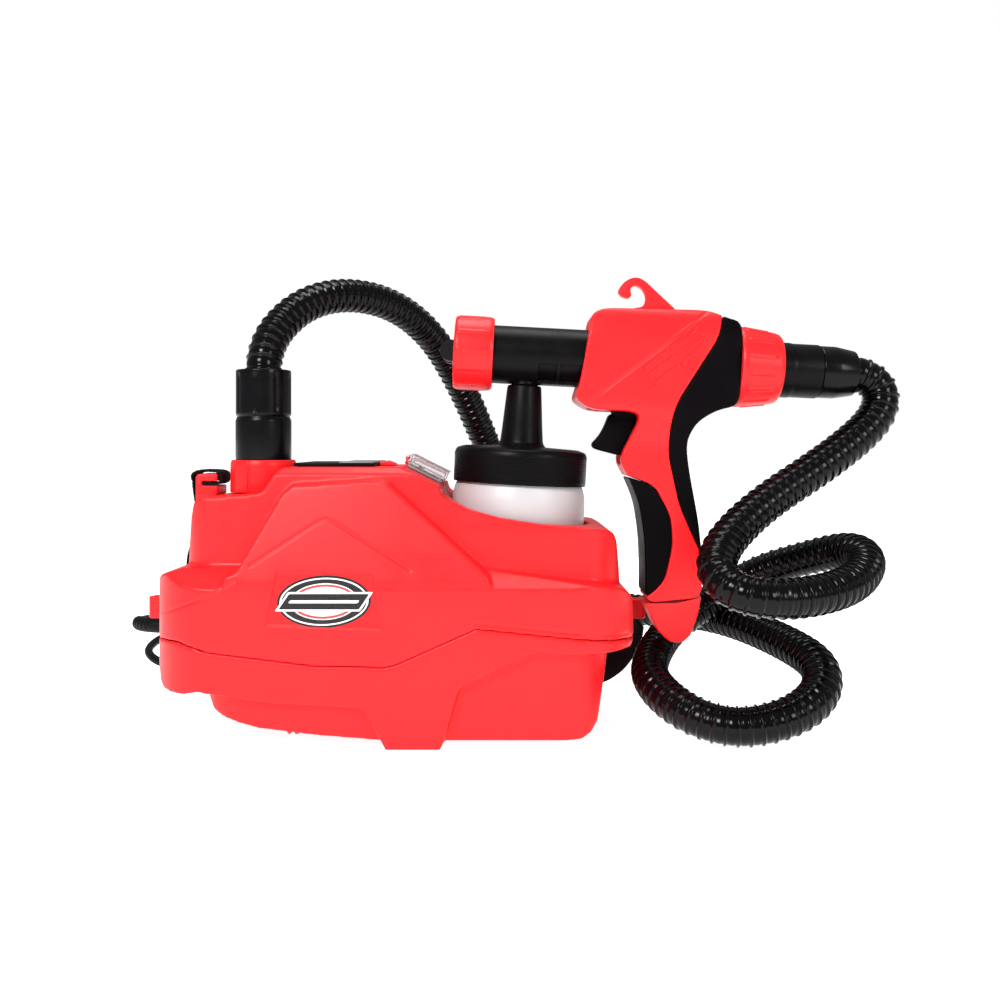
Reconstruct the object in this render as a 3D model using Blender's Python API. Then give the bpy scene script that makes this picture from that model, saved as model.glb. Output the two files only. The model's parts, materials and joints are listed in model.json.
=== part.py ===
"""Turbine (HVLP) paint sprayer: a floor-standing blower case with a cup well, a corrugated
air hose and a cup gun that is parked with its cup in the well.

World frame: metres, +Z up, +X towards the gun's hose end, -Y towards the control side.
The origin is on the floor, under the case. Lengths below are in millimetres.
"""

import math

import bmesh
import bpy
from mathutils import Matrix, Vector

MM = 0.001
GAP = 0.3  # clearance between pieces that meet
WALL = 3.0  # moulded wall of the case

# Case, as seen along Y: outlines are (x, z)
BAND_HALF_DEPTH = 86.0
TOWER_HALF_DEPTH = 65.0
TUB_HALF_DEPTH = 79.0
TUB_BOTTOM = 4.0
PARTING = [(-200, 72), (-174, 72), (-151, 74), (-126, 67), (-98, 63.5), (-53, 58), (-4, 57),
           (4, 59), (59, 83.5), (83, 81), (132, 76), (173, 72), (200, 72)]
BAND = [(-168, 40), (-172, 56), (-174, 72), (-172, 115), (-166, 119), (-150, 124), (60, 124),
        (158, 111), (166, 107), (171.5, 101), (173.5, 72), (170, 60), (150, 40)]
BAND_CAVITY = [(-165, 43), (-169, 56), (-171, 72), (-169, 112.5), (-164, 116), (-150, 120.5),
               (60, 120.5), (157, 107.5), (168.5, 99), (170.5, 72), (167, 62), (148, 43)]
TOWER = [(-154, 95), (-153, 124), (-148.5, 159), (-146, 169), (-141, 173), (-123, 174),
         (-99, 176), (-94.5, 178.5), (-85, 193), (-81, 195), (3, 195), (31.5, 181),
         (33, 175), (38.5, 171.5), (52, 165), (75, 159), (104, 154.5), (141, 151), (152, 150),
         (158, 147), (160.5, 141), (164, 108), (164, 95)]
TOWER_CAVITY = [(-150, 90), (-149.5, 124), (-145, 158.5), (-143, 167), (-139, 169.8), (-99, 172.8),
                (-92.5, 175.5), (-82.5, 190.5), (-79, 192), (2, 192), (28, 179), (29.5, 173),
                (37, 168.2), (51, 161.8), (75, 155.8), (104, 151.3), (141, 147.8), (151, 147),
                (155.5, 144.5), (157.3, 140), (160.5, 108), (160.5, 90)]
PANEL = [(-118, 105), (-116, 119), (-108, 123), (-79, 176), (-72, 182), (-9, 186), (-4, 184),
         (67, 120), (72, 105)]
PANEL_CAVITY = [(-110, 100), (-105, 120), (-76.5, 172.5), (-70.5, 178), (-10, 182), (-6, 180),
                (62, 117), (64, 100)]
OVERLAY = [(-174, 100), (-174, 72), (-172, 56), (-168, 43), (-163, 38), (-146, 37), (-135, 39.5),
           (-79, 32), (-22, 29), (-17, 25.5), (-4, 0), (34, 0), (36, 4), (46.5, 40), (49, 43),
           (95.5, 65), (100.5, 66.5), (155, 65.5), (170, 66), (173.5, 72), (173.5, 100)]
TUB = [(-140, 100), (-136, 40), (-133, 32), (-127.5, 23.5), (-119, 20), (-94, 13), (-54, 8),
       (-4, TUB_BOTTOM), (132.5, TUB_BOTTOM), (140, 8), (145, 15), (153, 60), (155, 100)]
TUB_CAVITY = [(-137, 110), (-133, 42), (-130, 33), (-125.5, 26), (-118, 23), (-93, 16.2),
              (-53, 11.2), (-2, 7.2), (131, 7.2), (138, 11), (142, 17), (149.8, 61), (151.5, 110)]
OVERHANG_CAVITY = [(-171, 110), (-171, 72), (-169, 57), (-165.5, 45), (-161, 41.2), (-146, 40.2),
                   (-130, 42), (-125, 110)]

# Cup well, cut down through the case's right half
WELL_X = 88.0
WELL_RADIUS = 56.0
WELL_FLOOR = 51.0

# Blower, in line along X inside the case
OUTLET_X = -109.0
MOTOR_Z = 90.0
MOTOR_RADIUS = 30.0
HOUSING_RADIUS = 46.0

# Slope that carries the switch: its upper end, its fall and its middle
SLOPE_TOP = (3.0, 195.0)
SLOPE_FALL = math.radians(26.2)
SLOPE_MIDDLE = 16.0

# Gun, in its own frame: u along the barrel to the rear, v across, w up; the cup hangs down w
GUN_ORIGIN = (95.7, 0.0, 280.5)
GUN_TILT = math.radians(3.0)
BARREL_RADIUS = 22.5
GUN_OUTLINE = [(47, 25), (48, 33), (56.5, 38.5), (137.5, 41.5), (151, 35.5), (162, 32.7),
               (162, -31.4), (146, -35.4), (132, -44.7), (126, -57), (125.5, -67), (129, -85.5),
               (137.5, -121), (141.5, -147), (143, -178.5), (100, -185), (99, -160), (96.5, -134),
               (91.5, -109), (82, -89), (76, -80), (76, -73), (89, -44), (83, -39.5), (51.5, -40),
               (40.5, -34), (38.5, -30), (41, -22)]
REAR_GRIP = [(151, 50), (145, 20), (116, -31), (112.6, -46), (112.5, -72), (123, -110),
             (138.5, -140.5), (143.5, -149), (190, -149), (190, 50)]
FRONT_GRIP = [(60, -89), (82, -89), (102.5, -96), (115.5, -117), (118.3, -139), (113.5, -167),
              (100, -181), (60, -181)]
GRIP_CAP = [(100, -185.5), (124.5, -184), (143, -178.8), (141.4, -192.5), (135.5, -210),
            (128.5, -214.5), (120, -214), (111, -206)]
TRIGGER_PIVOT = (80.0, 18.0)
TRIGGER_BLADE = [(66.8, -41.5), (64.6, -49.3), (61.4, -56.7), (58, -61.7), (55, -64.9), (54.8, -67.8),
                 (57, -69.8), (77.5, -74.1), (80, -70.4), (84.9, -60.3), (87.5, -50), (87.5, -41.5)]
HOOK = [(80.5, 39.8), (114, 41.1), (113.6, 42.3), (89.2, 62.9), (83.7, 65.3), (78.3, 64.5),
        (73.1, 61.1), (69.8, 56.5), (69.1, 52.8), (71.9, 49.8), (77.4, 48.4), (79.6, 51.2),
        (78.1, 54.8), (79.1, 57.7), (82.2, 59.3), (87.4, 57), (90.9, 51.3), (90.6, 45.9),
        (88, 42.3), (81.5, 41.3)]
CUP_TOP = -104.0
CUP_BOTTOM = -226.0

# Air hose and power cord
HOSE_DIAMETER = 28.5
CORD_DIAMETER = 7.0
COIL_ACROSS = 3
COIL_LAYERS = 2
COIL_MEAN_RADIUS = 39.0
COIL_PLACE = (-96.0, 148.0)
PLUG_PLACE = (-46.0, 194.0)
HOSE_ROUTE = [
    (-109, 0, 270.8), (-109, 0, 284), (-107.5, 5, 292), (-102, 14, 301), (-94, 25, 313),
    (-81, 38, 327), (-67, 52, 335), (-52, 68, 338.5), (-36, 85, 338.5), (-18, 105, 334),
    (0, 126, 323), (17, 147, 305), (31, 165, 281), (44, 180, 255), (54, 192, 231),
    (64, 200, 207), (75, 204, 180), (88, 204, 148), (104, 202, 115), (126, 196, 86),
    (152, 184, 67), (182, 164, 58), (212, 138, 58), (238, 108, 62), (257, 78, 64),
    (272, 54, 63), (287, 26, 60), (302, -10, 55), (311, -44, 48), (304, -68, 36),
    (285, -83, 26), (265, -88, 20), (243, -88, 16), (221, -83, 18), (203, -70, 24),
    (192, -50, 31), (188, -24, 37), (195, 8, 43), (209, 38, 53), (224, 51, 64),
    (243, 57, 75), (262, 57, 87), (280, 51, 100), (298, 42, 110), (319, 29, 118),
    (338, 14, 126), (350, -8, 130), (349, -34, 124), (330, -63, 114), (303, -86, 109),
    (273, -101, 107), (249, -106, 108), (230, -99, 113), (223, -85, 124), (233, -68, 139),
    (253, -52, 156), (278, -40, 173), (306, -30, 189), (331, -20, 204), (351, -12, 218),
    (366, -6, 231), (373, -2, 245), (371, 0, 258),
]
CORD_ROUTE = [
    (-214.5, 24.5, 69), (-217, 44, 67), (-213, 66, 64), (-202, 90, 60), (-190, 112, 55),
    (-188, 134, 49), (-202, 150, 43), (-222, 146, 38), (-235, 126, 34), (-236, 102, 29),
    (-222, 84, 24), (-200, 82, 18), (-180, 96, 10), (-162, 108, 5.5), (-150, 121, 4.0),
    (-146.6, 130, 3.8),
]
STRAP_WIDTH = 25.0
STRAP_THICKNESS = 2.0
STRAP_ROUTE = [
    (-143, 0, 190.8), (-150, 0, 191.2), (-157, 0, 190.8), (-160.6, 1, 187), (-161, 5, 177),
    (-161, 11, 164), (-163, 17, 151), (-168.5, 22, 138), (-174, 28, 126), (-176.5, 38, 114),
    (-174, 58, 103), (-161, 78, 93), (-140, 89, 83), (-112, 93, 68), (-68, 93.5, 44), (-20, 94, 28),
    (35, 94, 27), (90, 93.5, 24), (130, 93, 18), (156, 89, 15), (172, 83, 24), (183, 76, 38),
    (189, 69, 52), (191, 64, 63.5),
]

# C-shaped bracket over the case's upper left edge, which the strap goes over
STRAP_BRACKET = [(-158, 164), (-147.7, 164), (-146.4, 169.35), (-141.6, 173.3), (-141.6, 179.8),
                 (-153.5, 179.8), (-153.5, 183.4), (-141.6, 183.4), (-141.6, 188.8),
                 (-156.3, 188.8), (-158, 186.6)]

MATERIALS = {
    "red_plastic": ((0.80, 0.035, 0.04), 0.32, 0.0),
    "black_plastic": ((0.012, 0.012, 0.014), 0.42, 0.0),
    "grey_plastic": ((0.20, 0.20, 0.21), 0.45, 0.0),
    "clear_plastic": ((0.75, 0.72, 0.74), 0.10, 0.0),
    "milky_plastic": ((0.83, 0.83, 0.82), 0.35, 0.0),
    "hose_plastic": ((0.01, 0.01, 0.012), 0.22, 0.0),
    "rubber": ((0.02, 0.02, 0.02), 0.75, 0.0),
    "webbing": ((0.015, 0.015, 0.016), 0.90, 0.0),
    "foam": ((0.05, 0.05, 0.05), 0.95, 0.0),
    "steel": ((0.55, 0.55, 0.56), 0.30, 1.0),
    "brass": ((0.75, 0.58, 0.27), 0.30, 1.0),
}


# Building blocks -------------------------------------------------------------------------


def clear_scene():
    for obj in list(bpy.data.objects):
        bpy.data.objects.remove(obj, do_unlink=True)


def material(name):
    found = bpy.data.materials.get(name)
    if found:
        return found
    color, roughness, metallic = MATERIALS[name]
    made = bpy.data.materials.new(name)
    made.use_nodes = True
    shader = made.node_tree.nodes["Principled BSDF"]
    shader.inputs["Base Color"].default_value = (*color, 1.0)
    shader.inputs["Roughness"].default_value = roughness
    shader.inputs["Metallic"].default_value = metallic
    made.diffuse_color = (*color, 1.0)
    return made


def object_from(bm, name="tool"):
    """A linked object from a closed bmesh in millimetres, with its faces pointing out."""
    bmesh.ops.recalc_face_normals(bm, faces=bm.faces[:])
    mesh = bpy.data.meshes.new(name)
    bm.to_mesh(mesh)
    bm.free()
    obj = bpy.data.objects.new(name, mesh)
    bpy.context.scene.collection.objects.link(obj)
    return obj


def prism(outline, low, high, axis="Y"):
    """The outline extruded from low to high: (x, z) along Y, (x, y) along Z, (y, z) along X."""
    order = {"Y": lambda a, b, t: (a, t, b), "Z": lambda a, b, t: (a, b, t),
             "X": lambda a, b, t: (t, a, b)}[axis]
    bm = bmesh.new()
    near = [bm.verts.new(order(a, b, low)) for a, b in outline]
    far = [bm.verts.new(order(a, b, high)) for a, b in outline]
    bm.faces.new(near)
    bm.faces.new(far)
    for i in range(len(outline)):
        j = (i + 1) % len(outline)
        bm.faces.new((near[i], near[j], far[j], far[i]))
    return object_from(bm)


def box(low, high):
    return prism([(low[0], low[2]), (high[0], low[2]), (high[0], high[2]), (low[0], high[2])],
                 low[1], high[1])


def turned(profile, sides=24, axis="Z", at=(0, 0, 0)):
    """The closed (radius, height) profile turned about an axis through `at`."""
    bm = bmesh.new()
    rings = []
    for radius, height in profile:
        if radius == 0:
            rings.append([bm.verts.new((0, 0, height))] * sides)
            continue
        angles = (2 * math.pi * (k + 0.5) / sides for k in range(sides))
        rings.append([bm.verts.new((radius * math.cos(a), radius * math.sin(a), height))
                      for a in angles])
    closed = all(radius > 0 for radius, _ in profile)
    for i in range(len(rings) if closed else len(rings) - 1):
        low, high = rings[i], rings[(i + 1) % len(rings)]
        for k in range(sides):
            n = (k + 1) % sides
            corners = list(dict.fromkeys((low[k], low[n], high[n], high[k])))
            if len(corners) > 2:
                bm.faces.new(corners)
    turn = {"Z": Matrix(), "X": Matrix.Rotation(math.pi / 2, 4, "Y"),
            "Y": Matrix.Rotation(-math.pi / 2, 4, "X")}[axis]
    bmesh.ops.transform(bm, matrix=Matrix.Translation(at) @ turn, verts=bm.verts[:])
    return object_from(bm)


def rod(radius, low, high, sides=20, axis="Z", at=(0, 0, 0)):
    return turned([(0, low), (radius, low), (radius, high), (0, high)], sides, axis, at)


def tube(radius, bore, low, high, sides=24, axis="Z", at=(0, 0, 0)):
    return turned([(bore, low), (radius, low), (radius, high), (bore, high)], sides, axis, at)


def combine(obj, operation, *others):
    """Applies an exact Boolean with each of the others, which are used up."""
    for other in others:
        modifier = obj.modifiers.new("combine", "BOOLEAN")
        modifier.operation = operation
        modifier.object = other
        bpy.context.view_layer.update()
        graph = bpy.context.evaluated_depsgraph_get()
        made = bpy.data.meshes.new_from_object(obj.evaluated_get(graph))
        obj.modifiers.clear()
        obj.data = made
        bpy.data.objects.remove(other, do_unlink=True)
    return obj


def cut(obj, *others):
    return combine(obj, "DIFFERENCE", *others)


def join(obj, *others):
    return combine(obj, "UNION", *others)


def common(obj, *others):
    return combine(obj, "INTERSECT", *others)


def rounded_plan(half_x, half_y, radius, steps=5, middle=0.0):
    """A rectangle in plan with its corners rounded."""
    points = []
    for quarter in range(4):
        cx = (half_x - radius) * (1 if quarter in (0, 3) else -1) + middle
        cy = (half_y - radius) * (1 if quarter in (0, 1) else -1)
        for k in range(steps + 1):
            angle = math.pi / 2 * (quarter + k / steps)
            points.append((cx + radius * math.cos(angle), cy + radius * math.sin(angle)))
    return points


def moved(obj, matrix):
    obj.data.transform(matrix)
    return obj


def finish(obj, name, slot, frame=None, at=(0, 0, 0)):
    """Names the object, puts its origin at `at` in its frame and turns its mesh to metres."""
    obj.name = obj.data.name = name
    obj.data.transform(Matrix.Scale(MM, 4) @ Matrix.Translation(-Vector(at)))
    obj.location = Vector(at) * MM
    obj.parent = frame
    obj.data.materials.clear()
    obj.data.materials.append(material(slot))
    obj.data.shade_smooth()
    obj.data.set_sharp_from_angle(angle=math.radians(35))
    return obj


def smooth_route(route, spacing):
    """Points about `spacing` apart on a smooth curve through the route's points."""
    points = [Vector(p) for p in route]
    points = [2 * points[0] - points[1], *points, 2 * points[-1] - points[-2]]
    fine = []
    for a, b, c, d in zip(points, points[1:], points[2:], points[3:]):
        for k in range(24):
            t = k / 24
            fine.append(0.5 * (2 * b + (c - a) * t + (2 * a - 5 * b + 4 * c - d) * t * t
                               + (3 * b - a - 3 * c + d) * t ** 3))
    fine.append(points[-2])
    reach = [0.0]
    for a, b in zip(fine, fine[1:]):
        reach.append(reach[-1] + (b - a).length)
    count = round(reach[-1] / spacing)
    out = []
    i = 0
    for k in range(count + 1):
        want = reach[-1] * k / count
        while i < len(fine) - 2 and reach[i + 1] < want:
            i += 1
        share = (want - reach[i]) / (reach[i + 1] - reach[i])
        out.append(fine[i].lerp(fine[i + 1], share))
    return out


def cord_tube(name, slot, route, diameter, spacing):
    curve = bpy.data.curves.new(name, "CURVE")
    curve.dimensions = "3D"
    curve.bevel_depth = diameter / 2 * MM
    curve.bevel_resolution = 2
    curve.use_fill_caps = True
    points = smooth_route(route, spacing)
    spline = curve.splines.new("POLY")
    spline.points.add(len(points) - 1)
    for point, place in zip(spline.points, points):
        point.co = (*(place * MM), 1.0)
    obj = bpy.data.objects.new(name, curve)
    bpy.context.scene.collection.objects.link(obj)
    curve.materials.append(material(slot))
    return obj


# Case ------------------------------------------------------------------------------------


def side_profile(half, top, shoulder, top_half):
    return [(-half + 4, -20), (-half, 45), (-half, shoulder), (-top_half, top), (top_half, top),
            (half, shoulder), (half, 45), (half - 4, -20)]


def case_form(inset):
    """The upper case's outside (inset 0) or its hollow (inset WALL): band, tower and panels."""
    band, tower, panel = (BAND_CAVITY, TOWER_CAVITY, PANEL_CAVITY) if inset else (BAND, TOWER, PANEL)
    depth = BAND_HALF_DEPTH - inset
    form = common(
        prism(band, -depth - 5, depth + 5),
        prism(side_profile(depth, 125 - inset, 111 - inset, 66), -300, 300, "X"),
        prism(rounded_plan(174 - inset, depth, 48 - inset), -50, 300, "Z"))
    depth = TOWER_HALF_DEPTH - inset
    top = 196.0 - inset
    form = join(form, common(
        prism(tower, -depth - 5, depth + 5),
        prism([(-depth - 1, 80), (-depth, 150), (-depth + 4, top - 6), (-depth + 12, top),
               (depth - 12, top), (depth - 4, top - 6), (depth, 150), (depth + 1, 80)],
              -300, 300, "X"),
        prism(rounded_plan(159 - inset, depth + 1, 30 - inset, middle=5), 50, 300, "Z")))
    for side in (-1, 1):
        front = [(side * 50, 95), (side * (85.5 - inset), 95), (side * (85.5 - inset), 116),
                 (side * (69 - inset), 190), (side * 50, 190)]
        form = join(form, common(
            prism(panel, min(0, side * 90), max(0, side * 90)),
            prism(front, -300, 300, "X")))
    return form


def above_parting(gap):
    return prism([(x, z + gap) for x, z in PARTING] + [(200, 400), (-200, 400)], -200, 200)


def below_parting(gap):
    return prism([(x, z - gap) for x, z in PARTING] + [(200, -50), (-200, -50)], -200, 200)


def slope_frame():
    """Local x down the slope from its upper end, z out of it."""
    return (Matrix.Translation((SLOPE_TOP[0], 0, SLOPE_TOP[1]))
            @ Matrix.Rotation(SLOPE_FALL, 4, "Y"))


def upper_shell():
    shell = common(case_form(0), above_parting(GAP / 2))
    well = rod(WELL_RADIUS + WALL, WELL_FLOOR - WALL, 150, 28, at=(WELL_X, 0, 0))
    shell = cut(shell, case_form(WALL), rod(6.4, -190, -155, 16, "X", at=(0, -5, 71)))
    collar = rod(WELL_RADIUS + WALL, 60, 200, 28, at=(WELL_X, 0, 0))
    shell = join(shell, common(collar, case_form(0)))
    shell = join(shell, well)
    shell = cut(shell, rod(WELL_RADIUS, WELL_FLOOR, 260, 28, at=(WELL_X, 0, 0)))
    shell = cut(shell, rod(20, 150, 250, 24, at=(OUTLET_X, 0, 0)),
                rod(25.6, 174.3, 260, 24, at=(OUTLET_X, 0, 0)))
    shell = cut(shell, box((-75, -38, 185), (-19, 38, 230)))
    shell = cut(shell, moved(box((SLOPE_MIDDLE - 11, -14, -20), (SLOPE_MIDDLE + 11, 14, 20)),
                             slope_frame()))
    return finish(shell, "upper_shell", "red_plastic")


def lower_shell():
    overlay = common(prism(OVERLAY, -90, 90),
                     prism(rounded_plan(174, BAND_HALF_DEPTH, 48), -50, 150, "Z"))
    tub = common(prism(TUB, -TUB_HALF_DEPTH, TUB_HALF_DEPTH),
                 prism(rounded_plan(147, TUB_HALF_DEPTH, 38, middle=8), -50, 150, "Z"))
    shell = common(join(overlay, tub), below_parting(GAP / 2))
    depth = TUB_HALF_DEPTH - WALL
    shell = cut(shell,
                common(prism(TUB_CAVITY, -depth, depth),
                       prism(rounded_plan(144, depth, 35, middle=8), -50, 150, "Z")),
                common(prism(OVERHANG_CAVITY, -90, 90),
                       prism(rounded_plan(171, BAND_HALF_DEPTH - WALL, 45), -50, 150, "Z")))
    for x, y in screw_places():
        shell = join(shell, rod(5.5, TUB_BOTTOM + 1, 34, 12, at=(x, y, 0)))
        shell = cut(shell, rod(2.2, 0, 31, 10, at=(x, y, 0)),
                    rod(4.4, 0, TUB_BOTTOM + 4, 12, at=(x, y, 0)))
    shell = cut(shell, rod(6.4, -190, -155, 16, "X", at=(0, -5, 71)))
    return finish(shell, "lower_shell", "red_plastic")


def screw_places():
    return [(x, y) for x in (-72, 126) for y in (-62, 62)]


def case_fasteners():
    for i, (x, y) in enumerate(screw_places()):
        screw = turned([(0, TUB_BOTTOM + 0.6), (4.0, TUB_BOTTOM + 0.6), (4.0, TUB_BOTTOM + 3.4),
                        (1.8, TUB_BOTTOM + 3.4), (1.8, 30), (0, 30)], 8, at=(x, y, 0))
        finish(screw, f"case_screw_{i + 1}", "steel")
    for i, (x, y) in enumerate([(-105, -22), (-105, 22), (112, -52), (112, 52)]):
        top = TUB_BOTTOM - GAP if x > 0 else 13.5
        foot = turned([(0, 0), (8, 0), (9, 1.5), (9, top), (0, top)], 16, at=(x, y, 0))
        finish(foot, f"rubber_foot_{i + 1}", "rubber")


def intake():
    plate = box((-77, -40, 195 + GAP), (-17.5, 40, 197.8))
    skirt = box((-74.5, -37.5, 188), (-19.5, 37.5, 196))
    cover = join(plate, cut(skirt, box((-72, -35, 180), (-22, 35, 195))))
    for k in range(6):
        x = -72 + k * 4.6
        cover = cut(cover, box((x, -32, 190), (x + 2.4, 32, 200)))
    finish(cover, "intake_cover", "black_plastic")
    finish(box((-71, -34, 183), (-23, 34, 190)), "intake_filter", "foam")
    latch = prism([(-17, 195.3), (-5, 195.3), (-6.5, 197), (-12, 199), (-17, 198)], -12, 12)
    finish(latch, "filter_latch", "red_plastic")


def switch_group():
    frame = slope_frame()
    bezel = join(box((1.5, -18, GAP), (30.5, 18, 2.3)), box((5.3, -13.6, -9), (26.7, 13.6, 1)))
    bezel = cut(bezel, box((7.2, -11.5, -20), (24.8, 11.5, 10)))
    finish(moved(bezel, frame), "switch_bezel", "grey_plastic")
    rocker = prism([(8.8, 4.4), (16, 1.6), (24.2, 2.4), (24.0, -1.5), (18, -7), (14, -7), (8, -1.0)],
                   -10.8, 10.8)
    finish(moved(rocker, frame), "switch_rocker", "grey_plastic", at=frame @ Vector((16, 0, -2)))
    hood = box((0.5, -16.5, 2.8), (32.5, 16.5, 10.5))
    hood = cut(hood, box((2.2, -14.8, -1), (30.8, 14.8, 8.8)))
    ears = cut(rod(2.6, -11, 11, 12, "Y", at=(-0.6, 0, 6.2)),
               box((-6, -6, 0), (6, 6, 12)))
    hood = join(hood, ears)
    hood = cut(hood, rod(1.35, -20, 20, 12, "Y", at=(-0.6, 0, 6.2)))
    finish(moved(hood, frame), "switch_cover", "clear_plastic", at=frame @ Vector((-0.6, 0, 6.2)))
    pin = join(rod(1.0, -15, 15, 12, "Y", at=(-0.6, 0, 6.2)),
               prism([(-2.4, 1.0), (0.2, 0.8), (0.2, 6.8), (-1.8, 6.8)], -5.4, 5.4))
    finish(moved(pin, frame), "cover_pin", "red_plastic")


def outlet():
    collar = turned([(22.2, 174.6), (25.2, 174.6), (25.2, 196), (24.2, 199.5), (21.9, 199.5),
                     (21.9, 188), (19.6, 186), (19.6, 160), (17.4, 160), (17.4, 180)], 24,
                    at=(OUTLET_X, 0, 0))
    finish(collar, "outlet_collar", "red_plastic")
    cuff = turned([(14.4, 190), (21.4, 190), (21.4, 231), (20.8, 233), (20.8, 269.2), (14.4, 269.2)],
                  24, at=(OUTLET_X, 0, 0))
    finish(cuff, "base_cuff", "black_plastic", at=(OUTLET_X, 0, 230))


def blower():
    inside = HOUSING_RADIUS - 2.5
    housing = join(turned([(20, -136), (HOUSING_RADIUS, -136), (HOUSING_RADIUS, -84), (6, -84),
                           (6, -86.5), (inside, -86.5), (inside, -133.5), (20, -133.5)], 28,
                          "X", at=(0, 0, MOTOR_Z)),
                   tube(17, 14.6, MOTOR_Z + inside - 2, 159.6, 24, at=(OUTLET_X, 0, 0)))
    housing = cut(housing, rod(14.6, MOTOR_Z + 30, 150, 24, at=(OUTLET_X, 0, 0)))
    finish(housing, "fan_housing", "black_plastic")
    can = turned([(4, -83), (MOTOR_RADIUS, -83), (MOTOR_RADIUS, -18), (4, -18)], 24, "X",
                 at=(0, 0, MOTOR_Z))
    finish(can, "motor_can", "steel")
    finish(rod(3, -131, -10, 12, "X", at=(0, 0, MOTOR_Z)), "motor_shaft", "steel",
           at=(0, 0, MOTOR_Z))
    fan = tube(40, 3 + GAP, -96, -93, 24, "X", at=(0, 0, MOTOR_Z))
    fan = join(fan, tube(9, 3 + GAP, -126, -94, 16, "X", at=(0, 0, MOTOR_Z)))
    for k in range(9):
        blade = box((-122, -1.2, 7), (-94, 1.2, 38))
        fan = join(fan, moved(blade, Matrix.Translation((0, 0, MOTOR_Z))
                              @ Matrix.Rotation(2 * math.pi * k / 9, 4, "X")))
    finish(fan, "turbine_fan", "grey_plastic", at=(0, 0, MOTOR_Z))
    for name, x, floor in (("motor_bracket_front", -72, 14.2), ("motor_bracket_rear", -30, 9.6)):
        plate = box((x, -38, floor), (x + 7, 38, MOTOR_Z + 18))
        plate = cut(plate, rod(MOTOR_RADIUS + GAP, x - 5, x + 12, 24, "X", at=(0, 0, MOTOR_Z)))
        finish(plate, name, "rubber")


def strap_and_lugs():
    for name, x, y, z, out in (("strap_lug_left", -184, -18, 88, -1),
                               ("strap_lug_right", 190, 58, 74, 1)):
        root = x - out * 30
        body = prism([(root, y - 8), (x + out * 5, y - 6), (x + out * 8, y), (x + out * 5, y + 6),
                      (root, y + 8)], z - 8, z + 8, "Z")
        case = prism(rounded_plan(174 + GAP, BAND_HALF_DEPTH + GAP, 48 + GAP), 0, 150, "Z")
        body = cut(body, case, rod(3.2, z - 20, z + 20, 10, at=(x, y, 0)))
        finish(body, name, "red_plastic")
    finish(prism(STRAP_BRACKET, -13.6, 13.6), "strap_post", "red_plastic")
    ribbon("shoulder_strap", "webbing", STRAP_ROUTE, STRAP_WIDTH, STRAP_THICKNESS)


def strap_facing(point):
    """Out from the case in plan; up where the strap goes over its bracket."""
    x = point.x - min(max(point.x, -126), 126)
    y = point.y - min(max(point.y, -38), 38)
    return Vector((x, y, max(0.0, point.z - 187.5) * 30)).normalized()


def ribbon(name, slot, route, width, thickness):
    """Flat webbing along the route, with its flat side to the case."""
    points = smooth_route(route, 7)
    bm = bmesh.new()
    rings = []
    for i, point in enumerate(points):
        along = (points[min(i + 1, len(points) - 1)] - points[max(i - 1, 0)]).normalized()
        across = along.cross(strap_facing(point)).normalized()
        side, lift = across * width / 2, across.cross(along) * thickness / 2
        rings.append([bm.verts.new(point + a * side + b * lift)
                      for a, b in ((-1, -1), (1, -1), (1, 1), (-1, 1))])
    for low, high in zip(rings, rings[1:]):
        for k in range(4):
            n = (k + 1) % 4
            bm.faces.new((low[k], low[n], high[n], high[k]))
    bm.faces.new(rings[0])
    bm.faces.new(rings[-1])
    return finish(object_from(bm), name, slot)


def power_lead():
    points = smooth_route([(-171, -5, 71), (-182, -5, 71), (-197, -2.5, 71), (-208, 7, 70.2),
                           (-213.8, 20, 69.3)], 8)
    bm = bmesh.new()
    rings = []
    for i, point in enumerate(points):
        along = (points[min(i + 1, len(points) - 1)] - points[max(i - 1, 0)]).normalized()
        across = along.cross(Vector((0, 0, 1))).normalized()
        radius = 6.0 - 1.0 * i / (len(points) - 1)
        ring = [math.cos(a) * across + math.sin(a) * Vector((0, 0, 1))
                for a in (math.pi / 6 * k for k in range(12))]
        rings.append([bm.verts.new(point + radius * out) for out in ring])
    for low, high in zip(rings, rings[1:]):
        for k in range(12):
            n = (k + 1) % 12
            bm.faces.new((low[k], low[n], high[n], high[k]))
    bm.faces.new(rings[0])
    bm.faces.new(rings[-1])
    finish(object_from(bm), "cord_boot", "rubber")
    cord_tube("power_cord", "rubber", CORD_ROUTE, CORD_DIAMETER, 14)
    outer = COIL_MEAN_RADIUS + COIL_ACROSS / 2 * CORD_DIAMETER
    inner = COIL_MEAN_RADIUS - COIL_ACROSS / 2 * CORD_DIAMETER
    height = COIL_LAYERS * CORD_DIAMETER
    coil = turned([(inner, 1.5), (inner + 2, 0.3), (outer - 2, 0.3), (outer, 1.5),
                   (outer, height - 1.5), (outer - 2, height), (inner + 2, height),
                   (inner, height - 1.5)], 28, at=(*COIL_PLACE, 0))
    finish(coil, "cord_coil", "rubber")
    plug = prism([(-14, -9), (14, -11), (18, -7), (18, 7), (14, 11), (-14, 9)], 0.5, 19.5, "Z")
    place = Matrix.Translation((*PLUG_PLACE, 0))
    finish(moved(plug, place), "plug_body", "rubber")
    for i, y in enumerate((-6.35, 6.35)):
        blade = box((18 + GAP, y - 0.8, 6.5), (35, y + 0.8, 13))
        finish(moved(blade, place), f"plug_blade_{i + 1}", "brass")


# Gun -------------------------------------------------------------------------------------


def gun_frame():
    frame = bpy.data.objects.new("gun_frame", None)
    bpy.context.scene.collection.objects.link(frame)
    frame.location = Vector(GUN_ORIGIN) * MM
    frame.rotation_euler = (0, GUN_TILT, 0)
    return frame


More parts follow.
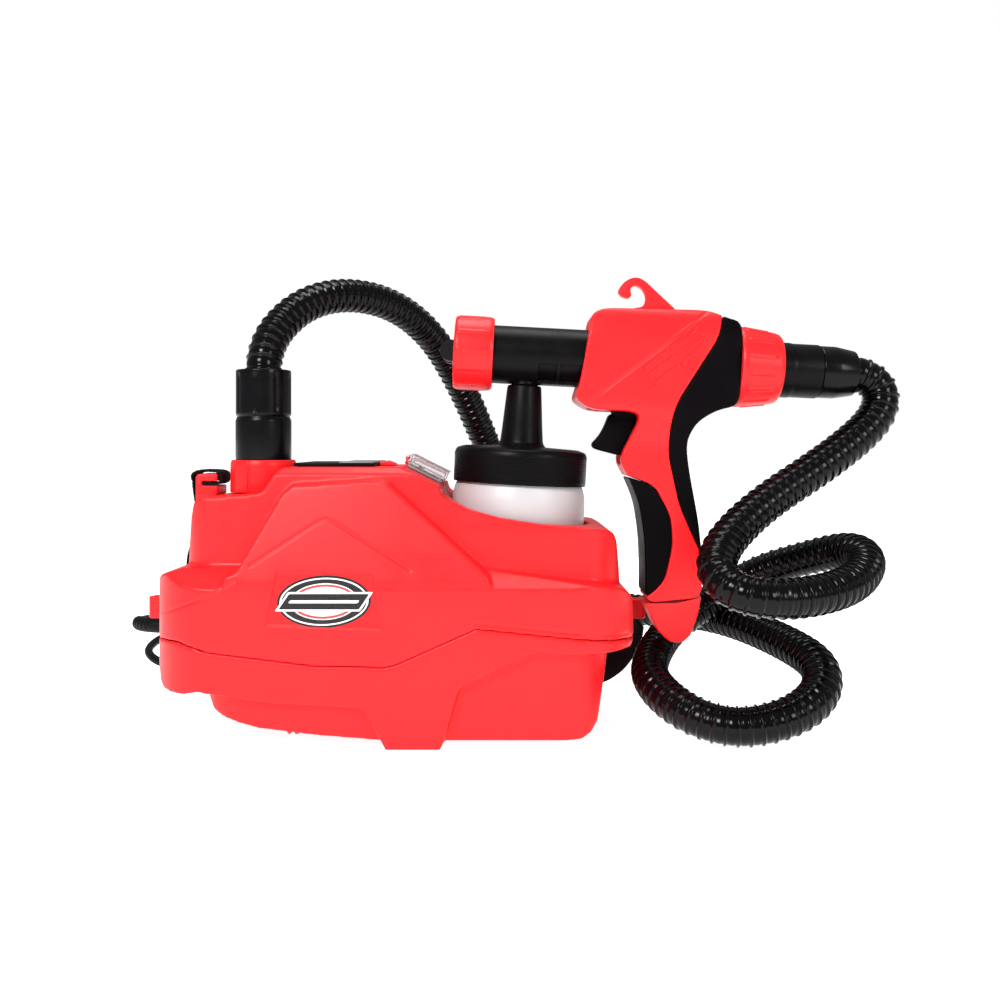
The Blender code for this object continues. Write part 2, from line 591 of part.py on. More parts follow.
def gun_form():
    """The handle and body as one solid, wide round the barrel and slimmer in the grip."""
    section = [(-15, -240), (-19, -200), (-19, -60), (-26, -38), (-26, 20), (-18, 38), (-8, 43),
               (8, 43), (18, 38), (26, 20), (26, -38), (19, -60), (19, -200), (15, -240)]
    return common(prism(GUN_OUTLINE, -30, 30), prism(section, 0, 250, "X"))


def gun_bodies(frame):
    hollow = [
        lambda: rod(BARREL_RADIUS + GAP, 20, 60, 28, "X"),
        lambda: rod(18, 55, 170, 24, "X"),
        lambda: box((50, -8.8, -80), (100, 8.8, -15)),
        lambda: rod(2.8, -17, 17, 12, "Y", at=(TRIGGER_PIVOT[0], 0, TRIGGER_PIVOT[1])),
        lambda: box((68, -9.2, -20), (98, 9.2, 27)),
        lambda: prism([(100, -60), (106, -60), (118, -150), (120, -178), (108, -178), (104, -150)],
                      -10, 10),
    ]
    for name, low, high in (("gun_body_left", -40, -GAP / 2), ("gun_body_right", GAP / 2, 40)):
        half = common(gun_form(), box((0, low, -300), (250, high, 100)))
        grown = [(x - GAP if x > 60 else x, z) for x, z in REAR_GRIP]
        half = cut(half, prism(grown, -50, 50))
        half = cut(half, prism([(x + (GAP if x > 62 else 0), z + (GAP if z > -100 else -GAP))
                                for x, z in FRONT_GRIP], -50, 50))
        half = cut(half, *(make() for make in hollow))
        finish(half, name, "red_plastic", frame)
    rear = common(gun_form(), prism(REAR_GRIP, -50, 50))
    rear = cut(rear, rod(18, 55, 170, 24, "X"))
    finish(rear, "rear_grip", "black_plastic", frame)
    front = common(gun_form(), prism(FRONT_GRIP, -50, 50))
    finish(front, "front_grip", "black_plastic", frame)
    finish(prism(GRIP_CAP, -17, 17), "grip_cap", "red_plastic", frame)
    hook = prism(HOOK, -3.2, 3.2)
    finish(hook, "hanging_hook", "red_plastic", frame)


def trigger_group(frame):
    pivot = (TRIGGER_PIVOT[0], 0, TRIGGER_PIVOT[1])
    blade = prism(TRIGGER_BLADE, -8, 8)
    arm = [(73, 23), (86, 23), (87, -44), (69, -44)]
    blade = join(blade, prism(arm, -8, -5.2), prism(arm, 5.2, 8))
    blade = cut(blade, rod(2.65, -12, 12, 14, "Y", at=pivot))
    finish(blade, "trigger", "black_plastic", frame, at=pivot)
    finish(rod(2.4, -16, 16, 14, "Y", at=pivot), "trigger_pin", "steel", frame, at=pivot)
    needle = turned([(0, -60), (0.9, -54), (1.3, -50), (1.3, 89.5), (6.6, 89.5), (6.6, 92.5),
                     (1.3, 92.5), (1.3, 126), (0, 126)], 14, "X")
    finish(needle, "needle", "steel", frame)
    coil = [(96 + 24 * k / 48, 4.4 * math.cos(k * math.pi / 6), 4.4 * math.sin(k * math.pi / 6))
            for k in range(49)]
    spring = cord_tube("needle_spring", "steel", coil, 1.1, 3.4)
    spring.parent = frame


def front_end(frame):
    barrel = tube(BARREL_RADIUS, 19.5, -45.6, 59.7, 28, "X")
    barrel = cut(barrel, rod(10.4, -30, -10, 20))
    finish(barrel, "barrel", "black_plastic", frame)
    nozzle = turned([(1.6, -59), (2.6, -59), (4.2, -52), (6.2, -44), (6.2, 22), (1.6, 22)], 16, "X")
    finish(nozzle, "fluid_nozzle", "brass", frame)
    cap = turned([(7, -49.6), (22.4, -49.6), (22.4, -46), (7, -46)], 24, "X")
    cone = turned([(7, -49), (16, -49), (16.4, -56), (9.2, -61.5), (4.6, -61.5)], 24, "X")
    cap = join(cap, cone)
    for side in (-1, 1):
        horn = prism([(-66.5, side * 9.5), (-66.5, side * 13), (-56, side * 15.3), (-50, side * 15.3),
                      (-50, side * 9)], -6, 6, "Z")
        cap = join(cap, horn)
    finish(cap, "air_cap", "black_plastic", frame)
    nut = turned([(17.2, -55.5), (27.2, -55.5), (29, -53.5), (29, -29), (26.5, -25.6), (23, -25.6),
                  (23, -49.9), (17.2, -49.9)], 28, "X")
    finish(nut, "nozzle_nut", "red_plastic", frame)


def cup_group(frame):
    lid = turned([(0, -70.5), (16, -70.5), (48.5, -72.5), (51.5, -76), (51.5, -103.6), (48.4, -103.6),
                  (48.4, -76.8), (5, -76.8), (5, -74), (0, -74)], 28)
    lid = join(lid, turned([(0, -72), (15, -72), (12, -23.4), (10, -23.2), (10, -6.6), (0, -6.6)], 20))
    finish(cut(lid, rod(4.2, -90, -20, 12)), "cup_lid", "black_plastic", frame)
    finish(tube(47.4, 43, -79.2, -77.4, 28), "cup_gasket", "rubber", frame)
    cup = turned([(0, CUP_BOTTOM), (43, CUP_BOTTOM), (46.5, CUP_BOTTOM + 4), (51.6, -122),
                  (51.6, -108), (50.5, CUP_TOP), (47.6, CUP_TOP), (47.6, -79.6), (45.6, -79.6),
                  (45.6, -105), (49.4, -109), (49.4, -122), (44.4, CUP_BOTTOM + 5.5),
                  (0, CUP_BOTTOM + 2.6)], 28)
    finish(cup, "paint_cup", "milky_plastic", frame)
    finish(tube(3.6, 2.2, CUP_BOTTOM + 12, -24, 12), "pickup_tube", "milky_plastic", frame)


def rear_end(frame):
    nut = turned([(22.5, 162.4), (31.2, 162.4), (31.6, 165), (28.2, 190), (26, 195.5),
                  (22.5, 195.5)], 24, "X")
    finish(nut, "rear_nut", "red_plastic", frame)
    connector = tube(21.4, 16, 170, 226.6, 24, "X", at=(0, 0, -0.6))
    finish(join(connector, tube(17.4, 15, 130, 175, 24, "X", at=(0, 0, -0.3))), "gun_connector",
           "black_plastic", frame)
    cuff = turned([(14.3, 210), (15.4, 210), (15.4, 227.2), (20.2, 227.2), (20.2, 240), (17.4, 255),
                   (14.3, 255)], 24, "X", at=(0, 0, -0.6))
    finish(cuff, "gun_cuff", "black_plastic", frame)


def air_hose():
    end = Matrix.Translation(GUN_ORIGIN) @ Matrix.Rotation(GUN_TILT, 4, "Y")
    last = [end @ Vector((u, 0, -0.6)) for u in (268, 255 + 6 * GAP)]
    cord_tube("air_hose", "hose_plastic", HOSE_ROUTE + last, HOSE_DIAMETER, 26)


clear_scene()
upper_shell()
lower_shell()
case_fasteners()
intake()
switch_group()
outlet()
blower()
strap_and_lugs()
power_lead()
gun = gun_frame()
gun_bodies(gun)
trigger_group(gun)
front_end(gun)
cup_group(gun)
rear_end(gun)
air_hose()
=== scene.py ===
"""Looks of the turbine paint sprayer: fine surfaces, hose, lead, strap and materials, built
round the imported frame. Lengths are in millimetres until a piece is placed."""

import json
import math

import bmesh
import bpy
import numpy as np
from mathutils import Matrix, Vector

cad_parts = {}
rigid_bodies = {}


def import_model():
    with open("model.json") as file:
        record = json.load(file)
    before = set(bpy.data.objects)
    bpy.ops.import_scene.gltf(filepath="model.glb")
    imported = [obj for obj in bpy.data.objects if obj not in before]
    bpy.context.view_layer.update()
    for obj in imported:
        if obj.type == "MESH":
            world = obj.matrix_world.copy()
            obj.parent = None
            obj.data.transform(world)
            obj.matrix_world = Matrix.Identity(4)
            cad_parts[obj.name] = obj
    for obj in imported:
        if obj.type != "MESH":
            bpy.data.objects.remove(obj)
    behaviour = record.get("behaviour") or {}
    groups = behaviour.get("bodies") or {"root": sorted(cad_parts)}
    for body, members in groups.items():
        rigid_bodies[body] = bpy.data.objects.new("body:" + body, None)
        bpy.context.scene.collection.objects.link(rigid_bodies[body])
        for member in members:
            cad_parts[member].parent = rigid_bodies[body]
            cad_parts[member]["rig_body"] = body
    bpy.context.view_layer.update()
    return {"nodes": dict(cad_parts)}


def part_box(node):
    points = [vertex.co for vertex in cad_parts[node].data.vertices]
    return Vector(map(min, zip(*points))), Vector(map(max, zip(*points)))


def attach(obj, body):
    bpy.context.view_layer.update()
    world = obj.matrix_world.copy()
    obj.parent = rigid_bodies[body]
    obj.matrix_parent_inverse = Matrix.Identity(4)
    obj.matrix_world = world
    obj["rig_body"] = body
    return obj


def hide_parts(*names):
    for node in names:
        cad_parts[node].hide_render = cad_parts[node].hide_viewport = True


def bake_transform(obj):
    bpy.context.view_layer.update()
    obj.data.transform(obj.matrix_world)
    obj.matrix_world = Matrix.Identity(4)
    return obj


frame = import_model()

MM = 0.001
GAP = 0.3
SKIN_GAP = 0.1
ROUTE_STEP = 2.0
CASE_VOXEL = 1.3
GUN_VOXEL = 0.85
GRIP_VOXEL = 0.8
CORD_HOLE = 6.4
CORD_HEIGHT = 71.0
WALL = 3.0

# Case, as seen along Y: outlines are (x, z)
BAND_HALF_DEPTH = 86.0
TOWER_HALF_DEPTH = 65.0
TUB_HALF_DEPTH = 79.0
TUB_BOTTOM = 4.0
PARTING = [(-200, 72), (-174, 72), (-151, 74), (-126, 67), (-98, 63.5), (-53, 58), (-4, 57),
           (4, 59), (59, 83.5), (83, 81), (132, 76), (173, 72), (200, 72)]
BAND = [(-168, 40), (-172, 56), (-174, 72), (-172, 115), (-166, 119), (-150, 124), (60, 124),
        (158, 111), (166, 107), (171.5, 101), (173.5, 72), (170, 60), (150, 40)]
BAND_CAVITY = [(-165, 43), (-169, 56), (-171, 72), (-169, 112.5), (-164, 116), (-150, 120.5),
               (60, 120.5), (157, 107.5), (168.5, 99), (170.5, 72), (167, 62), (148, 43)]
TOWER = [(-154, 95), (-153, 124), (-148.5, 159), (-146, 169), (-141, 173), (-123, 174),
         (-99, 176), (-94.5, 178.5), (-85, 193), (-81, 195), (3, 195), (31.5, 181),
         (33, 175), (38.5, 171.5), (52, 165), (75, 159), (104, 154.5), (141, 151), (152, 150),
         (158, 147), (160.5, 141), (164, 108), (164, 95)]
TOWER_CAVITY = [(-150, 90), (-149.5, 124), (-145, 158.5), (-143, 167), (-139, 169.8), (-99, 172.8),
                (-92.5, 175.5), (-82.5, 190.5), (-79, 192), (2, 192), (28, 179), (29.5, 173),
                (37, 168.2), (51, 161.8), (75, 155.8), (104, 151.3), (141, 147.8), (151, 147),
                (155.5, 144.5), (157.3, 140), (160.5, 108), (160.5, 90)]
PANEL = [(-118, 105), (-116, 119), (-108, 123), (-79, 176), (-72, 182), (-9, 186), (-4, 184),
         (67, 120), (72, 105)]
PANEL_CAVITY = [(-110, 100), (-105, 120), (-76.5, 172.5), (-70.5, 178), (-10, 182), (-6, 180),
                (62, 117), (64, 100)]
OVERLAY = [(-174, 100), (-174, 72), (-172, 56), (-168, 43), (-163, 38), (-146, 37), (-135, 39.5),
           (-79, 32), (-22, 29), (-17, 25.5), (-4, 0), (34, 0), (36, 4), (46.5, 40), (49, 43),
           (95.5, 65), (100.5, 66.5), (155, 65.5), (170, 66), (173.5, 72), (173.5, 100)]
TUB = [(-140, 100), (-136, 40), (-133, 32), (-127.5, 23.5), (-119, 20), (-94, 13), (-54, 8),
       (-4, TUB_BOTTOM), (132.5, TUB_BOTTOM), (140, 8), (145, 15), (153, 60), (155, 100)]
TUB_CAVITY = [(-137, 110), (-133, 42), (-130, 33), (-125.5, 26), (-118, 23), (-93, 16.2),
              (-53, 11.2), (-2, 7.2), (131, 7.2), (138, 11), (142, 17), (149.8, 61), (151.5, 110)]
OVERHANG_CAVITY = [(-171, 110), (-171, 72), (-169, 57), (-165.5, 45), (-161, 41.2), (-146, 40.2),
                   (-130, 42), (-125, 110)]

# Cup well, cut down through the case's right half
WELL_X = 88.0
WELL_RADIUS = 56.0
WELL_FLOOR = 51.0

# Blower, in line along X inside the case
OUTLET_X = -109.0

# Slope that carries the switch: its upper end, its fall and its middle
SLOPE_TOP = (3.0, 195.0)
SLOPE_FALL = math.radians(26.2)
SLOPE_MIDDLE = 16.0

# Gun, in its own frame: u along the barrel to the rear, v across, w up; the cup hangs down w
GUN_ORIGIN = (95.7, 0.0, 280.5)
GUN_TILT = math.radians(3.0)
BARREL_RADIUS = 22.5
GUN_OUTLINE = [(47, 25), (48, 33), (56.5, 38.5), (137.5, 41.5), (151, 35.5), (162, 32.7),
               (162, -31.4), (146, -35.4), (132, -44.7), (126, -57), (125.5, -67), (129, -85.5),
               (137.5, -121), (141.5, -147), (143, -178.5), (100, -185), (99, -160), (96.5, -134),
               (91.5, -109), (82, -89), (76, -80), (76, -73), (89, -44), (83, -39.5), (51.5, -40),
               (40.5, -34), (38.5, -30), (41, -22)]
REAR_GRIP = [(151, 50), (145, 20), (116, -31), (112.6, -46), (112.5, -72), (123, -110),
             (138.5, -140.5), (143.5, -149), (190, -149), (190, 50)]
FRONT_GRIP = [(60, -89), (82, -89), (102.5, -96), (115.5, -117), (118.3, -139), (113.5, -167),
              (100, -181), (60, -181)]
GRIP_CAP = [(100, -185.5), (124.5, -184), (143, -178.8), (141.4, -192.5), (135.5, -210),
            (128.5, -214.5), (120, -214), (111, -206)]
TRIGGER_PIVOT = (80.0, 18.0)
TRIGGER_BLADE = [(66.8, -41.5), (64.6, -49.3), (61.4, -56.7), (58, -61.7), (55, -64.9), (54.8, -67.8),
                 (57, -69.8), (77.5, -74.1), (80, -70.4), (84.9, -60.3), (87.5, -50), (87.5, -41.5)]
HOOK = [(80.5, 39.8), (114, 41.1), (113.6, 42.3), (89.2, 62.9), (83.7, 65.3), (78.3, 64.5),
        (73.1, 61.1), (69.8, 56.5), (69.1, 52.8), (71.9, 49.8), (77.4, 48.4), (79.6, 51.2),
        (78.1, 54.8), (79.1, 57.7), (82.2, 59.3), (87.4, 57), (90.9, 51.3), (90.6, 45.9),
        (88, 42.3), (81.5, 41.3)]
CUP_BOTTOM = -226.0

# Air hose and power cord
HOSE_DIAMETER = 28.5
CORD_DIAMETER = 7.0
COIL_TURNS = 6
COIL_MEAN_RADIUS = 39.0
COIL_PLACE = (-96.0, 148.0)
HOSE_ROUTE = [
    (-109, 0, 270.8), (-109.3, 1, 279), (-108.2, 5, 288), (-104.5, 12, 299), (-98, 21, 310.5),
    (-89.5, 31, 321), (-79, 42, 329.5), (-66, 54, 335.5), (-52, 68, 338.5), (-36, 85, 338.5), (-18, 105, 334),
    (0, 126, 323), (17, 147, 305), (31, 165, 281), (44, 180, 255), (54, 192, 231),
    (64, 200, 207), (75, 204, 180), (88, 204, 148), (104, 202, 115), (126, 196, 86),
    (152, 184, 67), (182, 164, 58), (212, 138, 58), (238, 108, 62), (257, 78, 64),
    (272, 54, 63), (287, 26, 60), (302, -10, 55), (311, -44, 48), (304, -68, 36),
    (285, -83, 26), (265, -88, 20), (243, -88, 16), (221, -83, 18), (203, -70, 24),
    (192, -50, 31), (188, -24, 37), (195, 8, 43), (209, 38, 53), (224, 51, 64),
    (243, 57, 75), (262, 57, 87), (280, 51, 100), (298, 42, 110), (319, 29, 118),
    (338, 14, 126), (350, -8, 130), (349, -34, 124), (330, -63, 114), (303, -86, 109),
    (273, -101, 107), (249, -106, 108), (230, -99, 113), (223, -85, 124), (233, -68, 139),
    (253, -52, 156), (278, -40, 173), (306, -30, 189), (331, -20, 204), (351, -12, 218),
    (365, -7, 230), (373, -3, 242), (374.5, -1, 253), (369, 0, 262),
]
CORD_ROUTE = [
    (-214.5, 24.5, 69), (-217, 44, 67), (-213, 66, 64), (-202, 90, 60), (-190, 112, 55),
    (-188, 134, 49), (-202, 150, 43), (-222, 146, 38), (-235, 126, 34), (-236, 102, 29),
    (-222, 84, 24), (-200, 82, 18), (-180, 96, 10), (-162, 108, 5.5), (-150, 121, 4.0),
    (-146.6, 130, 3.8),
]
STRAP_WIDTH = 25.0
STRAP_THICKNESS = 2.0
STRAP_ROUTE = [
    (-143, 0, 190.8), (-150, 0, 191.2), (-157, 0, 190.8), (-160.6, 1, 187), (-161, 5, 177),
    (-161, 11, 164), (-163, 17, 151), (-168.5, 22, 138), (-174, 28, 126), (-176.5, 38, 114),
    (-174, 58, 103), (-161, 78, 93), (-140, 89, 83), (-112, 93, 68), (-68, 93.5, 44), (-20, 94, 28),
    (35, 94, 27), (90, 93.5, 24), (130, 93, 18), (156, 89, 15), (172, 83, 24), (183, 76, 38),
    (189, 69, 52), (191, 64, 63.5),
]

HOSE_PITCH = 7.5
STRAP_POINTS_APART = 1.25

# Lines pressed into the front and back of the case, as (x, z)
V_LINE = [(-98, 127), (-54, 156), (-47, 159), (-40, 156), (13, 124)]
CREASE = [(-164, 92), (-140, 101), (-125, 107), (-108, 117)]
RIGHT_LINE = [(59, 87.5), (83, 85), (132, 80), (172, 76)]
EMBLEM_RECESS = [(-79, 123), (-13, 120.5), (-7.5, 83), (-87, 86)]
EMBLEM_MIDDLE = (-46.5, 102.5)

NODES = frame["nodes"]
SLOTS = {name: obj.data.materials[0].name.split(".")[0] for name, obj in NODES.items()}
GUN = Matrix.Translation(GUN_ORIGIN) @ Matrix.Rotation(GUN_TILT, 4, "Y")
WORLD = Matrix.Identity(4)


# Materials -------------------------------------------------------------------------------


def nodes_of(name):
    made = bpy.data.materials.new(name)
    made.use_nodes = True
    tree = made.node_tree
    return made, tree, tree.nodes["Principled BSDF"]


def add(tree, kind, **values):
    node = tree.nodes.new(kind)
    for key, value in values.items():
        if key in node.inputs:
            node.inputs[key].default_value = value
        else:
            setattr(node, key, value)
    return node


def noise(tree, scale, detail=3.0, stretch=(1, 1, 1)):
    place = add(tree, "ShaderNodeTexCoord")
    turn = add(tree, "ShaderNodeMapping", Scale=stretch)
    made = add(tree, "ShaderNodeTexNoise", Scale=scale, Detail=detail, Roughness=0.55)
    tree.links.new(place.outputs["Object"], turn.inputs["Vector"])
    tree.links.new(turn.outputs["Vector"], made.inputs["Vector"])
    return made.outputs["Fac"]


def ranged(tree, source, low, high, to_low, to_high):
    made = add(tree, "ShaderNodeMapRange")
    for key, value in (("From Min", low), ("From Max", high), ("To Min", to_low), ("To Max", to_high)):
        made.inputs[key].default_value = value
    tree.links.new(source, made.inputs["Value"])
    return made.outputs["Result"]


def mixed(tree, factor, a, b):
    made = add(tree, "ShaderNodeMix", data_type="RGBA")
    made.inputs[6].default_value = (*a, 1) if isinstance(a, tuple) else (0, 0, 0, 1)
    made.inputs[7].default_value = (*b, 1)
    if not isinstance(a, tuple):
        tree.links.new(a, made.inputs[6])
    tree.links.new(factor, made.inputs[0])
    return made.outputs[2]


def surface(name, color, rough, grain=900.0, bump=0.10, drift=0.06, painted_edge_highlight=None, metallic=0.0,
            stretch=(1, 1, 1), **sockets):
    """A moulded or machined finish: fine grain, uneven gloss, slow colour drift, and a painted highlight that
    lightens the convex edges.
    """
    made, tree, shader = nodes_of(name)
    slow = ranged(tree, noise(tree, 14.0), 0.3, 0.7, 0.0, 1.0)
    darker = tuple(c * (1 - drift) for c in color)
    lighter = tuple(min(1.0, c * (1 + drift)) for c in color)
    base = mixed(tree, slow, darker, lighter)
    # Painted highlight: convex edges (high pointiness) are mixed towards a lighter colour, standing in for
    # light caught along the edges.
    edge = ranged(tree, add(tree, "ShaderNodeNewGeometry").outputs["Pointiness"], 0.53, 0.62, 0.0, 0.55)
    base = mixed(tree, edge, base, painted_edge_highlight or tuple(min(1.0, c * 1.25 + 0.02) for c in color))
    tree.links.new(base, shader.inputs["Base Color"])
    gloss = ranged(tree, noise(tree, 55.0, 5.0, stretch), 0.3, 0.7, rough - 0.05, rough + 0.07)
    tree.links.new(gloss, shader.inputs["Roughness"])
    lift = add(tree, "ShaderNodeBump", Strength=bump, Distance=0.0003)
    tree.links.new(noise(tree, grain, 4.0, stretch), lift.inputs["Height"])
    tree.links.new(lift.outputs["Normal"], shader.inputs["Normal"])
    shader.inputs["Metallic"].default_value = metallic
    for key, value in sockets.items():
        shader.inputs[key.replace("_", " ")].default_value = value
    return made


# The seventh colour given to surface() is the painted edge highlight, the lighter colour mixed onto convex
# edges.
RED = surface("red_moulded", (0.80, 0.0125, 0.0155), 0.36, 1100, 0.10, 0.05, (0.86, 0.035, 0.035),
              Specular_IOR_Level=0.22)
RED_GLOSS = surface("red_gloss", (0.80, 0.0125, 0.0155), 0.27, 700, 0.05, 0.05, (0.86, 0.035, 0.035),
                    Specular_IOR_Level=0.3)
BLACK = surface("black_moulded", (0.002, 0.0015, 0.002), 0.36, 1300, 0.12, 0.25, (0.008, 0.008, 0.008),
                Specular_IOR_Level=0.09)
BLACK_GLOSS = surface("black_gloss", (0.0015, 0.0015, 0.002), 0.22, 900, 0.05, 0.25,
                      (0.006, 0.006, 0.006), Specular_IOR_Level=0.14)
BLACK_SOFT = surface("black_overmould", (0.002, 0.0015, 0.002), 0.44, 1500, 0.2, 0.25,
                     (0.004, 0.004, 0.004), Specular_IOR_Level=0.035)
GREY = surface("grey_moulded", (0.17, 0.17, 0.18), 0.42, 1200, 0.12, 0.12)
HOSE = surface("hose_gloss", (0.001, 0.001, 0.0015), 0.14, 400, 0.04, 0.3, (0.004, 0.004, 0.004),
               Specular_IOR_Level=0.15)
RUBBER = surface("cord_rubber", (0.003, 0.003, 0.003), 0.44, 1500, 0.16, 0.25, (0.01, 0.01, 0.01),
                 Specular_IOR_Level=0.1)
WEBBING = surface("webbing", (0.004, 0.0035, 0.004), 0.80, 2600, 0.6, 0.35, (0.015, 0.015, 0.015),
                  Specular_IOR_Level=0.08)
FOAM = surface("filter_foam", (0.035, 0.035, 0.036), 0.95, 500, 1.0, 0.3)
MILKY = surface("milky_cup", (0.50, 0.485, 0.495), 0.34, 600, 0.05, 0.04, (0.75, 0.75, 0.75),
                Subsurface_Weight=0.2, Subsurface_Scale=0.006)
CLEAR = surface("clear_cover", (0.94, 0.90, 0.91), 0.10, 300, 0.02, 0.02, (1, 1, 1),
                Transmission_Weight=0.93, IOR=1.45)
STEEL = surface("brushed_steel", (0.55, 0.55, 0.56), 0.30, 900, 0.12, 0.08, metallic=1.0,
                stretch=(1, 1, 6))
BRASS = surface("brass", (0.72, 0.55, 0.27), 0.28, 900, 0.08, 0.08, metallic=1.0)
PRINT_BLACK = surface("print_black", (0.006, 0.006, 0.006), 0.30, 600, 0.05, 0.2,
                      Specular_IOR_Level=0.25)
PRINT_WHITE = surface("print_white", (0.86, 0.86, 0.86), 0.34, 600, 0.05, 0.03)
PRINT_RED = surface("print_red", (0.72, 0.03, 0.03), 0.32, 600, 0.05, 0.05)

SLOT_LOOKS = {"red_plastic": RED, "black_plastic": BLACK, "grey_plastic": GREY,
              "clear_plastic": CLEAR, "milky_plastic": MILKY, "hose_plastic": HOSE,
              "rubber": RUBBER, "webbing": WEBBING, "foam": FOAM, "steel": STEEL, "brass": BRASS}


# Building blocks -------------------------------------------------------------------------


def object_from(bm, name="tool"):
    bmesh.ops.recalc_face_normals(bm, faces=bm.faces[:])
    mesh = bpy.data.meshes.new(name)
    bm.to_mesh(mesh)
    bm.free()
    obj = bpy.data.objects.new(name, mesh)
    bpy.context.scene.collection.objects.link(obj)
    return obj


def prism(outline, low, high, axis="Y"):
    """The outline extruded from low to high: (x, z) along Y, (x, y) along Z, (y, z) along X."""
    order = {"Y": lambda a, b, t: (a, t, b), "Z": lambda a, b, t: (a, b, t),
             "X": lambda a, b, t: (t, a, b)}[axis]
    bm = bmesh.new()
    near = [bm.verts.new(order(a, b, low)) for a, b in outline]
    far = [bm.verts.new(order(a, b, high)) for a, b in outline]
    bm.faces.new(near)
    bm.faces.new(far)
    for i in range(len(outline)):
        j = (i + 1) % len(outline)
        bm.faces.new((near[i], near[j], far[j], far[i]))
    return object_from(bm)


def box(low, high):
    return prism([(low[0], low[2]), (high[0], low[2]), (high[0], high[2]), (low[0], high[2])],
                 low[1], high[1])


def rod(radius, low, high, sides=20, axis="Z", at=(0, 0, 0)):
    return lathe([(0, low), (radius, low), (radius, high), (0, high)], sides, axis, at, phase=0.5)


def settled(obj):
    """Applies the object's modifiers."""
    bpy.context.view_layer.update()
    graph = bpy.context.evaluated_depsgraph_get()
    made = bpy.data.meshes.new_from_object(obj.evaluated_get(graph))
    obj.modifiers.clear()
    obj.data = made
    return obj


def combine(obj, operation, *others):
    """Applies an exact Boolean with each of the others, which are used up."""
    for other in others:
        modifier = obj.modifiers.new("combine", "BOOLEAN")
        modifier.operation = operation
        modifier.object = other
        settled(obj)
        bpy.data.objects.remove(other, do_unlink=True)
    return obj


def cut(obj, *others):
    return combine(obj, "DIFFERENCE", *others)


def join(obj, *others):
    return combine(obj, "UNION", *others)


def common(obj, *others):
    return combine(obj, "INTERSECT", *others)


def rounded_plan(half_x, half_y, radius, steps=20, middle=0.0):
    """A rectangle in plan with its corners rounded."""
    points = []
    for quarter in range(4):
        cx = (half_x - radius) * (1 if quarter in (0, 3) else -1) + middle
        cy = (half_y - radius) * (1 if quarter in (0, 1) else -1)
        for k in range(steps + 1):
            angle = math.pi / 2 * (quarter + k / steps)
            points.append((cx + radius * math.cos(angle), cy + radius * math.sin(angle)))
    return points


def moved(obj, matrix):
    obj.data.transform(matrix)
    return obj


def smooth_route(route, spacing):
    """Points about `spacing` apart on a smooth curve through the route's points."""
    points = [Vector(p) for p in route]
    points = [2 * points[0] - points[1], *points, 2 * points[-1] - points[-2]]
    fine = []
    for a, b, c, d in zip(points, points[1:], points[2:], points[3:]):
        for k in range(24):
            t = k / 24
            fine.append(0.5 * (2 * b + (c - a) * t + (2 * a - 5 * b + 4 * c - d) * t * t
                               + (3 * b - a - 3 * c + d) * t ** 3))
    fine.append(points[-2])
    total = length_of(fine)
    count = round(total / spacing)
    return sampled(fine, [total * k / count for k in range(count + 1)])


def rounded(outline, radius, steps=4, closed=True):
    """The outline with each corner turned into a curve that starts `radius` before it."""
    points = [Vector(p) for p in outline]
    out = []
    last = len(points) - 1
    for i, point in enumerate(points):
        if not closed and i in (0, last):
            out.append(point)
            continue
        before, after = points[i - 1], points[(i + 1) % len(points)]
        near = min(radius, (before - point).length * 0.45)
        far = min(radius, (after - point).length * 0.45)
        a = point + (before - point).normalized() * near
        b = point + (after - point).normalized() * far
        for k in range(steps + 1):
            t = k / steps
            out.append(a.lerp(point, t).lerp(point.lerp(b, t), t))
    return [tuple(p) for p in out]


def remeshed(obj, voxel, rounds):
    """An even skin with its edges rounded off, like a moulding."""
    even = obj.modifiers.new("even", "REMESH")
    even.mode = "VOXEL"
    even.voxel_size = voxel
    ease = obj.modifiers.new("ease", "SMOOTH")
    ease.factor = 0.5
    ease.iterations = rounds
    return settled(obj)


def bevelled(obj, width, steps=2, angle=30):
    edge = obj.modifiers.new("edge", "BEVEL")
    edge.width = width
    edge.segments = steps
    edge.limit_method = "ANGLE"
    edge.angle_limit = math.radians(angle)
    edge.harden_normals = False
    return settled(obj)


def placed(obj, name, look, body, replaces=(), matrix=WORLD, sharp=38):
    """Puts the piece from millimetres into the frame, riding on its body."""
    obj.name = obj.data.name = name
    obj.data.transform(Matrix.Scale(MM, 4) @ matrix)
    obj.data.materials.clear()
    obj.data.materials.append(look)
    obj.data.shade_smooth()
    if sharp:
        obj.data.set_sharp_from_angle(angle=math.radians(sharp))
    if body:
        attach(obj, body)
    if replaces:
        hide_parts(*replaces)
    return obj


def from_node(node):
    """A copy of a CAD node's shape, in millimetres, to be refined."""
    bm = bmesh.new()
    bm.from_mesh(NODES[node].data)
    bmesh.ops.remove_doubles(bm, verts=bm.verts[:], dist=2e-6)
    bmesh.ops.dissolve_limit(bm, angle_limit=math.radians(1.0), verts=bm.verts[:], edges=bm.edges[:])
    bmesh.ops.scale(bm, vec=(1 / MM,) * 3, verts=bm.verts[:])
    return object_from(bm)


